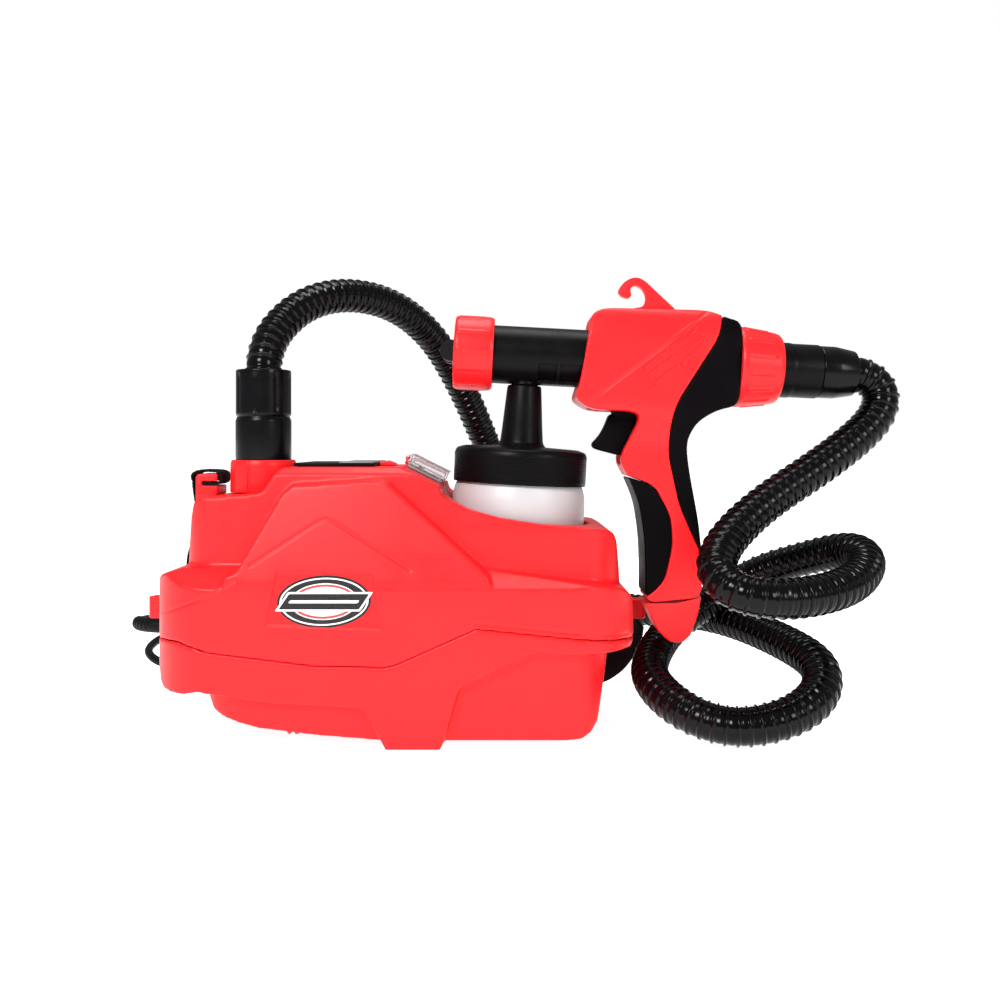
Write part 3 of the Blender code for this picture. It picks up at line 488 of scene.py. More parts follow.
def lathe(profile, sides=96, axis="Z", at=(0, 0, 0), wave=None, phase=0.0):
    """The closed (radius, height) profile turned about an axis; wave(angle, radius, height)
    gives what is added to the radius there, and phase turns it by a part of a side."""
    bm = bmesh.new()
    rings = []
    for radius, height in profile:
        if radius < 1e-6:
            rings.append([bm.verts.new((0, 0, height))] * sides)
            continue
        ring = []
        for k in range(sides):
            a = 2 * math.pi * (k + phase) / sides
            r = radius + (wave(a, radius, height) if wave else 0)
            ring.append(bm.verts.new((r * math.cos(a), r * math.sin(a), height)))
        rings.append(ring)
    for i, low in enumerate(rings):
        high = rings[(i + 1) % len(rings)]
        for k in range(sides):
            n = (k + 1) % sides
            corners = list(dict.fromkeys((low[k], low[n], high[n], high[k])))
            if len(corners) > 2:
                bm.faces.new(corners)
    turn = {"Z": Matrix(), "X": Matrix.Rotation(math.pi / 2, 4, "Y"),
            "Y": Matrix.Rotation(-math.pi / 2, 4, "X")}[axis]
    bmesh.ops.transform(bm, matrix=Matrix.Translation(at) @ turn, verts=bm.verts[:])
    return object_from(bm)


def near_line(points, line):
    """Each 2-D point's distance from the line."""
    best = np.full(len(points), 1e9)
    for a, b in zip(line, line[1:]):
        a, b = np.array(a, float), np.array(b, float)
        d = b - a
        t = np.clip(((points - a) @ d) / (d @ d), 0, 1)
        best = np.minimum(best, np.linalg.norm(points - a - t[:, None] * d, axis=1))
    return best


def inside_depth(points, outline):
    """How far each 2-D point is inside the convex outline, negative outside."""
    outline = np.array(outline, float)
    middle = outline.mean(0)
    depth = np.full(len(points), 1e9)
    for a, b in zip(outline, np.roll(outline, -1, 0)):
        n = np.array([b[1] - a[1], a[0] - b[0]])
        n /= np.linalg.norm(n)
        if (middle - a) @ n < 0:
            n = -n
        depth = np.minimum(depth, (points - a) @ n)
    return depth


def refine(obj, wanted):
    """Halves the edges whose middles `wanted` picks, given as an array of points."""
    bm = bmesh.new()
    bm.from_mesh(obj.data)
    middles = np.array([(e.verts[0].co + e.verts[1].co) / 2 for e in bm.edges])
    picked = [e for e, w in zip(bm.edges, wanted(middles)) if w]
    bmesh.ops.subdivide_edges(bm, edges=picked, cuts=1, use_grid_fill=True)
    bm.to_mesh(obj.data)
    bm.free()


def coordinates(obj):
    count = len(obj.data.vertices)
    co = np.empty(count * 3, np.float32)
    no = np.empty(count * 3, np.float32)
    obj.data.vertices.foreach_get("co", co)
    obj.data.vertices.foreach_get("normal", no)
    return co.reshape(-1, 3).astype(float), no.reshape(-1, 3).astype(float)


def set_coordinates(obj, co):
    obj.data.vertices.foreach_set("co", co.astype(np.float32).ravel())
    obj.data.update()


def smoothstep(x):
    x = np.clip(x, 0, 1)
    return x * x * (3 - 2 * x)


def skinned(bm, rings):
    """A closed form through the rings of vertices, capped at both ends."""
    count = len(rings[0])
    for low, high in zip(rings, rings[1:]):
        for k in range(count):
            n = (k + 1) % count
            bm.faces.new((low[k], low[n], high[n], high[k]))
    bm.faces.new(rings[0])
    bm.faces.new(rings[-1])
    return object_from(bm)


def tube_along(points, radii, sides):
    """A closed tube through the points, with a radius for each."""
    bm = bmesh.new()
    made = []
    across = None
    for i, (point, radius) in enumerate(zip(points, radii)):
        along = (points[min(i + 1, len(points) - 1)] - points[max(i - 1, 0)]).normalized()
        if across is None:
            across = along.orthogonal().normalized()
        across = (across - along * across.dot(along)).normalized()
        other = along.cross(across)
        made.append([bm.verts.new(point + radius * (math.cos(a) * across + math.sin(a) * other))
                     for a in (2 * math.pi * k / sides for k in range(sides))])
    return skinned(bm, made)


def length_of(points):
    return sum((b - a).length for a, b in zip(points, points[1:]))


def sampled(points, places):
    """Points at the given distances along the polyline."""
    reach = [0.0]
    for a, b in zip(points, points[1:]):
        reach.append(reach[-1] + (b - a).length)
    out = []
    i = 0
    for want in places:
        while i < len(points) - 2 and reach[i + 1] < want:
            i += 1
        share = (want - reach[i]) / max(reach[i + 1] - reach[i], 1e-9)
        out.append(points[i].lerp(points[i + 1], min(max(share, 0), 1)))
    return out


# Camera, floor and light -----------------------------------------------------------------


def camera_and_light():
    eye = bpy.data.cameras.new("camera")
    eye.lens = 34.6
    eye.sensor_width = 36
    eye.shift_y = -0.055
    camera = bpy.data.objects.new("camera", eye)
    camera.location = (0.0754, -0.750, 0.211)
    camera.rotation_euler = (math.radians(90), 0, 0)
    bpy.context.scene.collection.objects.link(camera)
    bpy.context.scene.camera = camera
    bpy.context.scene.view_settings.view_transform = "Standard"

    world = bpy.data.worlds.new("studio")
    world.use_nodes = True
    tree = world.node_tree
    sky = tree.nodes["Background"]
    sky.inputs["Color"].default_value = (1, 1, 1, 1)
    sky.inputs["Strength"].default_value = 0.36
    backdrop = add(tree, "ShaderNodeBackground", Strength=1.0)
    backdrop.inputs["Color"].default_value = (1, 1, 1, 1)
    blend = add(tree, "ShaderNodeMixShader")
    tree.links.new(add(tree, "ShaderNodeLightPath").outputs["Is Camera Ray"], blend.inputs["Fac"])
    tree.links.new(sky.outputs[0], blend.inputs[1])
    tree.links.new(backdrop.outputs[0], blend.inputs[2])
    tree.links.new(blend.outputs[0], tree.nodes["World Output"].inputs["Surface"])
    bpy.context.scene.world = world

    bm = bmesh.new()
    bmesh.ops.create_grid(bm, x_segments=8, y_segments=8, size=15)
    floor = object_from(bm, "floor")
    floor.location.z = -0.0002
    pale = surface("floor_pale", (0.9, 0.9, 0.9), 0.8, 30, 0.02, 0.008,
                   Emission_Color=(1, 1, 1, 1), Emission_Strength=0.9, Specular_IOR_Level=0.1)
    floor.data.materials.append(pale)

    for name, place, aim, size, power in (
            ("key", (-0.7, -1.6, 1.3), (0.05, 0, 0.15), 0.6, 38),
            ("fill", (1.3, -1.3, 0.8), (0.1, 0, 0.15), 0.5, 10),
            ("top", (0.1, 0.3, 1.9), (0.1, 0, 0.1), 0.9, 17)):
        light = bpy.data.lights.new(name, "AREA")
        light.size = size
        light.energy = power
        lamp = bpy.data.objects.new(name, light)
        lamp.location = place
        lamp.rotation_euler = (Vector(aim) - Vector(place)).to_track_quat("-Z", "Y").to_euler()
        bpy.context.scene.collection.objects.link(lamp)


# Hose, lead and strap --------------------------------------------------------------------


def eased(points, rounds, kept):
    """The polyline without its kinks, apart from `kept` points at each end."""
    co = np.array([tuple(p) for p in points])
    for _ in range(rounds):
        middle = (co[:-2] + co[2:]) / 2
        co[1 + kept:-1 - kept] += 0.5 * (middle - co[1:-1])[kept:len(middle) - kept]
    return [Vector(p) for p in co]


def air_hose():
    last = [GUN @ Vector((u, 0, -0.6)) for u in (266, 255 + 6 * GAP)]
    fine = eased(smooth_route([Vector(p) for p in HOSE_ROUTE] + last, ROUTE_STEP), 70, 1)
    fine = [fine[0] - Vector((0, 0, 5)), *fine, fine[-1] + (fine[-1] - fine[-2]).normalized() * 4]
    total = length_of(fine)
    ribs = round(total / HOSE_PITCH)
    pitch = total / ribs
    crest = HOSE_DIAMETER / 2
    places, radii = [], []
    for k in range(ribs):
        for share, drop in ((0.0, 1.05), (0.18, 1.2), (0.34, 1.5), (0.42, 1.45), (0.50, 0.25), (0.57, 0.0),
                            (0.65, 0.25), (0.72, 1.45), (0.80, 1.5)):
            places.append((k + share) * pitch)
            radii.append(crest - drop)
    places.append(total)
    radii.append(crest - 1.5)
    centres = sampled(fine, places)
    hose = tube_along(centres, radii, 28)
    placed(hose, "hose_corrugated", HOSE, None, ("air_hose",), sharp=60)
    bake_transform(hose)


def coil_points():
    """Six turns from the outside in along the floor and back out on top, then off along +X."""
    points = []
    start = math.radians(190)
    turns = COIL_TURNS - 1 + 100 / 360
    count = round(turns * 40)
    radii = [1, 0, -1, -1, 0, 1]
    for k in range(count + 1):
        turn = turns * k / count
        i = min(int(turn), COIL_TURNS - 1)
        slide = float(smoothstep((turn - i - 0.72) / 0.28))
        here, after = radii[i], radii[min(i + 1, COIL_TURNS - 1)]
        radius = COIL_MEAN_RADIUS + CORD_DIAMETER * (here + (after - here) * slide)
        layer = (slide if i == 2 else 0.0) if i < 3 else 1.0
        height = CORD_DIAMETER / 2 + 0.3 + CORD_DIAMETER * layer
        a = start - 2 * math.pi * turn
        points.append(Vector((COIL_PLACE[0] + radius * math.cos(a), COIL_PLACE[1] + radius * math.sin(a),
                              height)))
    return points


def power_lead():
    low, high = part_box("plug_body")
    low, high = low / MM, high / MM
    coil = coil_points()
    before = smooth_route([Vector(p) for p in CORD_ROUTE[:-1]] + [coil[0]], 3.0)
    end = Vector((low.x + 1.5, (low.y + high.y) / 2, 10))
    tail = smooth_route([coil[-1], coil[-1].lerp(end, 0.33), coil[-1].lerp(end, 0.67), end], 3.0)
    points = before[:-1] + coil + tail[1:]
    curve = bpy.data.curves.new("power_lead", "CURVE")
    curve.dimensions = "3D"
    curve.bevel_depth = CORD_DIAMETER / 2 * MM
    curve.bevel_resolution = 4
    curve.use_fill_caps = True
    spline = curve.splines.new("POLY")
    spline.points.add(len(points) - 1)
    for point, place in zip(spline.points, points):
        point.co = (*(place * MM), 1.0)
    spline.use_smooth = True
    lead = bpy.data.objects.new("power_lead", curve)
    bpy.context.scene.collection.objects.link(lead)
    curve.materials.append(RUBBER)
    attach(lead, "base")
    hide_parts("power_cord", "cord_coil")

    boot_route = [(-171, -5, CORD_HEIGHT), (-182, -5, CORD_HEIGHT), (-197, -2.5, CORD_HEIGHT),
                  (-208, 7, 70.2), (-213.8, 20, 69.3)]
    fine = smooth_route(boot_route, 1.0)
    count = len(fine)
    radii = []
    for i in range(count):
        share = i / (count - 1)
        radius = 6.2 - 1.2 * share
        if 0.45 < share < 0.92 and i % 4 in (0, 1):
            radius -= 0.6
        if i == count - 1:
            radius -= 0.5
        radii.append(radius)
    boot = tube_along(fine, radii, 28)
    placed(boot, "lead_boot", RUBBER, "base", ("cord_boot",), sharp=50)

    middle = (low + high) / 2
    plan = rounded([(-14, -6.5), (-4, -9), (14, -11), (18, -7), (18, 7), (14, 11), (-4, 9), (-14, 6.5)], 4)
    body = prism(plan, low.z, high.z, "Z")
    body = moved(bevelled(body, 2.4, 3), Matrix.Translation((middle.x - 2, middle.y, 0)))
    placed(body, "mains_plug", RUBBER, "base", ("plug_body",))


def strap_facing(point):
    """Out from the case in plan; up where the strap goes over its bracket."""
    x = point.x - min(max(point.x, -126), 126)
    y = point.y - min(max(point.y, -38), 38)
    return Vector((x, y, max(0.0, point.z - 187.5) * 30)).normalized()


def side_profile(half, top, shoulder, top_half):
    return [(-half + 4, -20), (-half, 45), (-half, shoulder), (-top_half, top), (top_half, top),
            (half, shoulder), (half, 45), (half - 4, -20)]


def case_form(inset):
    """The upper case's outside (inset 0) or its hollow (inset WALL): band, tower and panels."""
    band, tower, panel = (BAND_CAVITY, TOWER_CAVITY, PANEL_CAVITY) if inset else (BAND, TOWER, PANEL)
    depth = BAND_HALF_DEPTH - inset
    form = common(
        prism(band, -depth - 5, depth + 5),
        prism(side_profile(depth, 125 - inset, 111 - inset, 66), -300, 300, "X"),
        prism(rounded_plan(174 - inset, depth, 48 - inset), -50, 300, "Z"))
    depth = TOWER_HALF_DEPTH - inset
    top = 196.0 - inset
    form = join(form, common(
        prism(tower, -depth - 5, depth + 5),
        prism([(-depth - 1, 80), (-depth, 150), (-depth + 4, top - 6), (-depth + 12, top),
               (depth - 12, top), (depth - 4, top - 6), (depth, 150), (depth + 1, 80)],
              -300, 300, "X"),
        prism(rounded_plan(159 - inset, depth + 1, 30 - inset, middle=5), 50, 300, "Z")))
    for side in (-1, 1):
        front = [(side * 50, 95), (side * (85.5 - inset), 95), (side * (85.5 - inset), 116),
                 (side * (69 - inset), 190), (side * 50, 190)]
        form = join(form, common(
            prism(panel, min(0, side * 90), max(0, side * 90)),
            prism(front, -300, 300, "X")))
    return form


def above_parting(gap):
    return prism([(x, z + gap) for x, z in PARTING] + [(200, 400), (-200, 400)], -200, 200)


def below_parting(gap):
    return prism([(x, z - gap) for x, z in PARTING] + [(200, -50), (-200, -50)], -200, 200)


def slope_frame():
    """Local x down the slope from its upper end, z out of it."""
    return (Matrix.Translation((SLOPE_TOP[0], 0, SLOPE_TOP[1]))
            @ Matrix.Rotation(SLOPE_FALL, 4, "Y"))


def ribbon(name, route, facing, replaces=()):
    """Webbing along the route, flat against what it lies on, with woven cross ribs."""
    points = smooth_route(route, STRAP_POINTS_APART)
    bm = bmesh.new()
    rings = []
    outline = [(-1, -0.55), (-0.97, -1), (-0.5, -1), (0, -1), (0.5, -1), (0.97, -1), (1, -0.55),
               (1, 0.55), (0.97, 1), (0.5, 1), (0, 1), (-0.5, 1), (-0.97, 1), (-1, 0.55)]
    for i, point in enumerate(points):
        along = (points[min(i + 1, len(points) - 1)] - points[max(i - 1, 0)]).normalized()
        out = facing(point)
        across = along.cross(out).normalized()
        lift = across.cross(along)
        swell = 1.0 if i % 2 else 0.72
        rings.append([bm.verts.new(point + across * (a * STRAP_WIDTH / 2)
                                   + lift * (b * swell * STRAP_THICKNESS / 2)) for a, b in outline])
    placed(skinned(bm, rings), name, WEBBING, "base", replaces, sharp=0)


def shoulder_strap():
    ribbon("strap_webbing", STRAP_ROUTE, strap_facing, ("shoulder_strap",))
    bar = Vector((-147.5, 0, 186))
    ribbon("strap_wrap", [(-143, 0, 190.8), (-139.7, 0, 189.4), (-138.8, 0, 186), (-139.8, 0, 182.6),
                          (-143, 0, 181.5), (-148, 0, 181.5), (-152, 0, 181.6)],
           lambda point: (point - bar).normalized())


# Case ------------------------------------------------------------------------------------


def case_skin(obj, lines, recess):
    """Evens the shell's surface, then presses the lines and the emblem's place into it."""
    remeshed(obj, CASE_VOXEL, 6)

    def by_a_line(middles):
        plan = middles[:, [0, 2]]
        near = np.zeros(len(middles), bool)
        for line in lines:
            near |= near_line(plan, line) < 3.2
        if recess:
            near |= (np.abs(inside_depth(plan, recess)) < 3.0) & (middles[:, 1] < 0)
        return near & (np.abs(middles[:, 1]) > 62)

    refine(obj, by_a_line)
    co, no = coordinates(obj)
    plan = co[:, [0, 2]]
    outer = (np.sign(co[:, 1]) * no[:, 1] > 0.5) & (np.abs(co[:, 1]) > 62)
    for line in lines:
        depth = 0.6 * np.exp(-(near_line(plan, line) / 1.0) ** 2)
        co[:, 1] -= np.where(outer, np.sign(co[:, 1]) * depth, 0)
    if recess:
        share = smoothstep(inside_depth(plan, recess) / 1.6 + 0.5)
        flat = emblem_plane(co[:, 2])
        front = outer & (co[:, 1] < 0)
        co[:, 1] = np.where(front, co[:, 1] + (np.maximum(flat, co[:, 1]) - co[:, 1]) * share, co[:, 1])
    set_coordinates(obj, co)
    return obj


def emblem_plane(z):
    return -85.0 + 0.055 * (z - 83)


def upper_shell():
    shell = common(case_form(0), above_parting(0.4 * SKIN_GAP))
    well = rod(WELL_RADIUS + WALL, WELL_FLOOR - WALL, 150, 96, at=(WELL_X, 0, 0))
    shell = cut(shell, case_form(WALL), rod(CORD_HOLE, -190, -155, 24, "X", at=(0, -5, CORD_HEIGHT)))
    collar = rod(WELL_RADIUS + WALL, 60, 200, 96, at=(WELL_X, 0, 0))
    shell = join(shell, common(collar, case_form(0)))
    shell = join(shell, well)
    shell = cut(shell, rod(WELL_RADIUS, WELL_FLOOR, 260, 96, at=(WELL_X, 0, 0)))
    shell = cut(shell, rod(20, 150, 250, 48, at=(OUTLET_X, 0, 0)),
                rod(25.6, 174.3, 260, 48, at=(OUTLET_X, 0, 0)))
    shell = cut(shell, box((-75, -38, 185), (-19, 38, 230)))
    shell = cut(shell, moved(box((SLOPE_MIDDLE - 11, -14, -20), (SLOPE_MIDDLE + 11, 14, 20)),
                             slope_frame()))
    case_skin(shell, [V_LINE, CREASE, RIGHT_LINE], EMBLEM_RECESS)
    placed(shell, "case_top", RED, "base", ("upper_shell",), sharp=0)


def lower_shell():
    overlay = common(prism(OVERLAY, -90, 90),
                     prism(rounded_plan(174, BAND_HALF_DEPTH, 48), -50, 150, "Z"))
    tub = common(prism(TUB, -TUB_HALF_DEPTH, TUB_HALF_DEPTH),
                 prism(rounded_plan(147, TUB_HALF_DEPTH, 38, middle=8), -50, 150, "Z"))
    shell = common(join(overlay, tub), below_parting(0.6 * SKIN_GAP))
    depth = TUB_HALF_DEPTH - WALL
    shell = cut(shell,
                common(prism(TUB_CAVITY, -depth, depth),
                       prism(rounded_plan(144, depth, 35, middle=8), -50, 150, "Z")),
                common(prism(OVERHANG_CAVITY, -90, 90),
                       prism(rounded_plan(171, BAND_HALF_DEPTH - WALL, 45), -50, 150, "Z")))
    for x in (-72, 126):
        for y in (-62, 62):
            shell = join(shell, rod(5.5, TUB_BOTTOM + 1, 34, 24, at=(x, y, 0)))
            shell = cut(shell, rod(2.2, 0, 31, 16, at=(x, y, 0)),
                        rod(4.4, 0, TUB_BOTTOM + 4, 24, at=(x, y, 0)))
    shell = cut(shell, rod(CORD_HOLE, -190, -155, 24, "X", at=(0, -5, CORD_HEIGHT)))
    case_skin(shell, [], None)
    placed(shell, "case_bottom", RED, "base", ("lower_shell",), sharp=0)


def oval(half_x, half_z, turn=0.0, steps=72):
    """An ellipse about the emblem's middle, as (x, z)."""
    out = []
    for k in range(steps):
        a = 2 * math.pi * k / steps
        x, z = half_x * math.cos(a), half_z * math.sin(a)
        out.append((EMBLEM_MIDDLE[0] + x * math.cos(turn) - z * math.sin(turn),
                    EMBLEM_MIDDLE[1] + x * math.sin(turn) + z * math.cos(turn)))
    return out


def emblem():
    """A plain printed oval: rings and a band, with no lettering."""
    tilt = math.radians(2)

    def layer(name, outline, proud, look, hole=None):
        bm = bmesh.new()
        edges = [outline, hole] if hole else [outline]
        rings = [[bm.verts.new((x, emblem_plane(z) + y, z)) for x, z in edge]
                 for edge in edges for y in (0.3, -proud)]
        pairs = [(0, 1)]
        if hole:
            pairs += [(2, 3), (1, 3), (0, 2)]
        else:
            bm.faces.new(rings[0])
            bm.faces.new(rings[1])
        for one, other in pairs:
            a, b = rings[one], rings[other]
            for k in range(len(a)):
                n = (k + 1) % len(a)
                bm.faces.new((a[k], a[n], b[n], b[k]))
        placed(object_from(bm), name, look, "base", sharp=30)

    layer("emblem_backing", oval(32.5, 18.0, tilt), 0.25, PRINT_BLACK)
    layer("emblem_field", oval(30.8, 16.4, tilt), 0.45, PRINT_WHITE)
    layer("emblem_ring", oval(29.6, 15.4, tilt), 0.62, PRINT_BLACK, oval(23.5, 12.6, tilt))
    layer("emblem_inner_ring", oval(22.6, 11.8, tilt), 0.62, PRINT_RED, oval(20.4, 10.2, tilt))
    slant = 4.5
    for name, z, half, long, proud, look in (("emblem_band_edge", 102.5, 6.6, 29.5, 0.80, PRINT_WHITE),
                                             ("emblem_band", 102.5, 5.3, 27.8, 0.98, PRINT_BLACK),
                                             ("emblem_band_line", 102.5, 1.0, 24.0, 1.12, PRINT_WHITE)):
        x = EMBLEM_MIDDLE[0]
        lean = slant * half / 6.6
        plate = rounded([(x - long - lean, z - half), (x + long - lean, z - half),
                         (x + long + lean, z + half), (x - long + lean, z + half)], 1.0, 3)
        layer(name, plate, proud, look)


def soft_copy(node, name, voxel, rounds, look):
    obj = remeshed(from_node(node), voxel, rounds)
    return placed(obj, name, look, NODES[node]["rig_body"], (node,), sharp=0)


def edged_copy(node, name, width, look):
    obj = bevelled(from_node(node), width)
    return placed(obj, name, look, NODES[node]["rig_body"], (node,))


def case_fittings():
    def seam(a, radius, _height):
        gap = abs((a - math.radians(257) + math.pi) % (2 * math.pi) - math.pi)
        return -0.9 if radius > 24 and gap < 0.035 else 0.0

    collar = lathe(rounded([(22.2, 174.6), (25.2, 174.6), (25.0, 196), (24.2, 199.5), (21.9, 199.5),
                            (21.9, 188), (19.6, 186), (19.6, 160), (17.4, 160), (17.4, 180)], 0.8, 3),
                   180, at=(OUTLET_X, 0, 0), wave=seam)
    placed(collar, "hose_collar", RED, "base", ("outlet_collar",))

    def grip(a, radius, height):
        if not (radius > 20.3 and 236 < height < 266):
            return 0.0
        return -0.7 * (0.5 + 0.5 * math.cos(a * 8 + 0.6)) ** 14

    heights = [236.5 + k * 3.6 for k in range(9)]
    cuff = lathe(rounded([(14.4, 190), (21.2, 190), (21.2, 230), (20.0, 233)], 0.6, 3, closed=False)
                 + [(21.0, 234.5), (21.0, 235.8)] + [(21.0, h) for h in heights]
                 + rounded([(21.0, 266.4), (20.9, 269.2), (14.4, 269.2)], 0.8, 3, closed=False),
                 180, at=(OUTLET_X, 0, 0), wave=grip)
    placed(cuff, "hose_cuff_base", BLACK_GLOSS, "base_cuff", ("base_cuff",))

    edged_copy("intake_cover", "intake_grille", 0.5, BLACK)
    trim = bevelled(box((-43.5, -39.7, 196.3), (-18.5, 39.7, 198.6)), 0.3)
    placed(trim, "intake_trim", GREY, "intake_cover")
    for node, name, width, look in (("intake_filter", "intake_foam", 1.2, FOAM),
                                    ("filter_latch", "latch_tab", 0.6, RED_GLOSS),
                                    ("switch_bezel", "switch_frame", 0.6, GREY),
                                    ("switch_rocker", "switch_key", 0.6, BLACK)):
        edged_copy(node, name, width, look)
    soft_copy("switch_cover", "switch_hood", 0.45, 3, CLEAR)
    edged_copy("cover_pin", "hood_pin", 0.3, RED_GLOSS)
    edged_copy("strap_post", "strap_bracket", 0.8, RED)
    soft_copy("strap_lug_left", "lug_left", 0.6, 5, RED)
    soft_copy("strap_lug_right", "lug_right", 0.6, 5, RED)
    for k in range(4):
        node = f"rubber_foot_{k + 1}"
        low, high = (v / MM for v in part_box(node))
        middle = (low + high) / 2
        foot = lathe([(0, 0), *rounded([(8, 0), (9, 1.5), (9, high.z)], 0.6, 3, closed=False),
                      (0, high.z)], 48, at=(middle.x, middle.y, 0))
        placed(foot, f"foot_{k + 1}", RUBBER, "base", (node,))


# Gun -------------------------------------------------------------------------------------


def gun_form():
    section = rounded([(-15, -240), (-19, -200), (-19, -60), (-26, -38), (-26, 20), (-18, 38), (-8, 43),
                       (8, 43), (18, 38), (26, 20), (26, -38), (19, -60), (19, -200), (15, -240)], 9, 5)
    return common(prism(rounded(GUN_OUTLINE, 9, 4), -30, 30), prism(section, 0, 250, "X"))


GRIP_SLOTS = [((89.1, -6.4), (104.9, 6.5)), ((92, -12.4), (110.3, 2.8)), ((97, -18.2), (113.2, -4.3)),
              ((108.1, 10.2), (125.6, 25)), ((112.8, 4.9), (131, 20.4)), ((116.9, -1.9), (133.1, 14.9))]


def gun_skin(obj):
    """Slots, the facet line and softened edges of a gun half."""
    remeshed(obj, GUN_VOXEL, 6)

    def sides(middles):
        return (np.abs(middles[:, 1]) > 17) & (middles[:, 2] > -45) & (middles[:, 0] > 60)

    refine(obj, sides)
    co, no = coordinates(obj)
    plan = co[:, [0, 2]]
    outer = np.sign(co[:, 1]) * no[:, 1] > 0.35
    press = np.zeros(len(co))
    for ends in GRIP_SLOTS:
        press = np.maximum(press, 1.3 * smoothstep((1.9 - near_line(plan, ends)) / 0.9))
    facet = near_line(plan, [(52, -32), (94, 3), (138, 41)])
    press = np.maximum(press, 0.5 * np.exp(-(facet / 1.1) ** 2))
    press = np.where(outer & (np.abs(co[:, 1]) > 8), press, 0)
    co[:, 1] -= np.sign(co[:, 1]) * press
    set_coordinates(obj, co)
    return obj


def gun_bodies():
    hollow = [
        lambda: rod(BARREL_RADIUS + GAP, 20, 60, 96, "X"),
        lambda: rod(18, 55, 170, 64, "X"),
        lambda: box((50, -8.8, -80), (100, 8.8, -15)),
        lambda: rod(2.8, -17, 17, 24, "Y", at=(TRIGGER_PIVOT[0], 0, TRIGGER_PIVOT[1])),
        lambda: box((68, -9.2, -20), (98, 9.2, 27)),
    ]
    rear_shape = rounded(REAR_GRIP, 8, 4)
    front_shape = rounded(FRONT_GRIP, 8, 4)
    grown = [(x - 2 * GAP if x > 60 else x, z) for x, z in rear_shape]
    front_grown = [(x + (2 * GAP if x > 62 else 0), z + (2 * GAP if z > -100 else -2 * GAP))
                   for x, z in front_shape]
    for name, node, low, high in (("gun_left", "gun_body_left", -40, -GAP / 2),
                                  ("gun_right", "gun_body_right", GAP / 2, 40)):
        half = common(gun_form(), box((0, low, -300), (250, high, 100)))
        half = cut(half, prism(grown, -50, 50), prism(front_grown, -50, 50))
        half = cut(half, *(make() for make in hollow))
        placed(gun_skin(half), name, RED, "gun", (node,), GUN, sharp=0)
    rear = common(gun_form(), prism(rear_shape, -50, 50))
    rear = remeshed(cut(rear, rod(18, 55, 170, 64, "X")), GRIP_VOXEL, 6)
    placed(rear, "grip_rear", BLACK_SOFT, "gun", ("rear_grip",), GUN, sharp=0)
    front = remeshed(common(gun_form(), prism(front_shape, -50, 50)), GRIP_VOXEL, 6)
    placed(front, "grip_front", BLACK_SOFT, "gun", ("front_grip",), GUN, sharp=0)
    longer = [(93.5, -173.5), (144.7, -164), *GRIP_CAP[3:]]
    under = [(90, -186.1), *GRIP_CAP[:3], (150, -176.8), (150, -230), (90, -230)]
    cap = common(bevelled(prism(rounded(longer, 5, 4), -16.6, 16.6), 5.5, 5), prism(under, -30, 30))
    placed(cap, "grip_end", RED, "gun", ("grip_cap",), GUN)
    hook = prism(rounded(HOOK, 3.5, 5), -3.2, 3.2)
    placed(bevelled(hook, 0.9, 3), "gun_hook", RED, "gun", ("hanging_hook",), GUN)


def ribs(count, width, height, low, high, least):
    """A ring nut's short ribs, between two heights, on radii above `least`."""
    def wave(a, radius, at):
        if radius < least or not low <= at <= high:
            return 0.0
        step = 2 * math.pi / count
        off = abs((a + step / 2) % step - step / 2) * radius
        return height * float(smoothstep((width / 2 - off) / 0.8 + 0.5))
    return wave


def front_end():
    heights = [-24, 9.2, 9.6, 16, 23.2, 23.6, 26, 26.4, 34, 42, 42.4]
    profile = [(19.5, -45.6), (22.3, -45.6), *((22.5, h) for h in heights), (22.5, 59.7), (19.5, 59.7)]

    def windows(a, radius, at):
        side = abs(abs((a + math.pi) % (2 * math.pi) - math.pi) - math.radians(45))
        inside = any(low < at < high for low, high in ((9.4, 23.4), (26.2, 42.2)))
        return -2.4 if radius > 21 and inside and side < 0.46 else 0.0

    barrel = cut(lathe(profile, 160, "X", wave=windows), rod(10.4, -30, -10, 48))
    placed(barrel, "gun_barrel", BLACK, "gun", ("barrel",), GUN)
    tip = lathe(rounded([(1.6, -59), (2.6, -59), (4.2, -52), (6.2, -44), (6.2, 22), (1.6, 22)], 0.5, 3),
                64, "X")
    placed(tip, "fluid_tip", BRASS, "gun", ("fluid_nozzle",), GUN)
    cap = lathe(rounded([(7, -49.6), (22.4, -49.6), (22.4, -46), (7, -46)], 0.5, 2), 96, "X")
    cone = lathe(rounded([(4.6, -49), (14, -49), (14, -54.5), (9.2, -57.5), (4.6, -58)], 0.8, 3), 96, "X")
    cap = join(cap, cone)
    for side in (-1, 1):
        horn = prism([(-66.5, side * 9.5), (-66.5, side * 13), (-56, side * 15.3), (-49, side * 15.3),
                      (-49, side * 9)], -9, 9, "Z")
        cap = join(cap, common(horn, rod(8.2, -20, 20, 48, "Y", at=(-58.3, 0, 0))))
    placed(bevelled(cap, 0.7, 2), "fan_cap", BLACK, "air_cap", ("air_cap",), GUN)
    heights = [-52.5, -51.5, -50.5, -44, -36.5, -35.5, -34.5]
    outer = [(17.2, -55.5), (27.2, -55.5), (28.1, -54.6), (28.4, -53.2), *((28.45, h) for h in heights),
             (28.6, -30), (28.2, -27.6), (27.2, -25.6), (23, -25.6), (23, -49.9), (17.2, -49.9)]
    nut = lathe(outer, 288, "X", wave=ribs(12, 2.4, 0.55, -52.6, -34.4, 28.44))
    placed(nut, "ring_nut", RED, "nozzle_nut", ("nozzle_nut",), GUN)


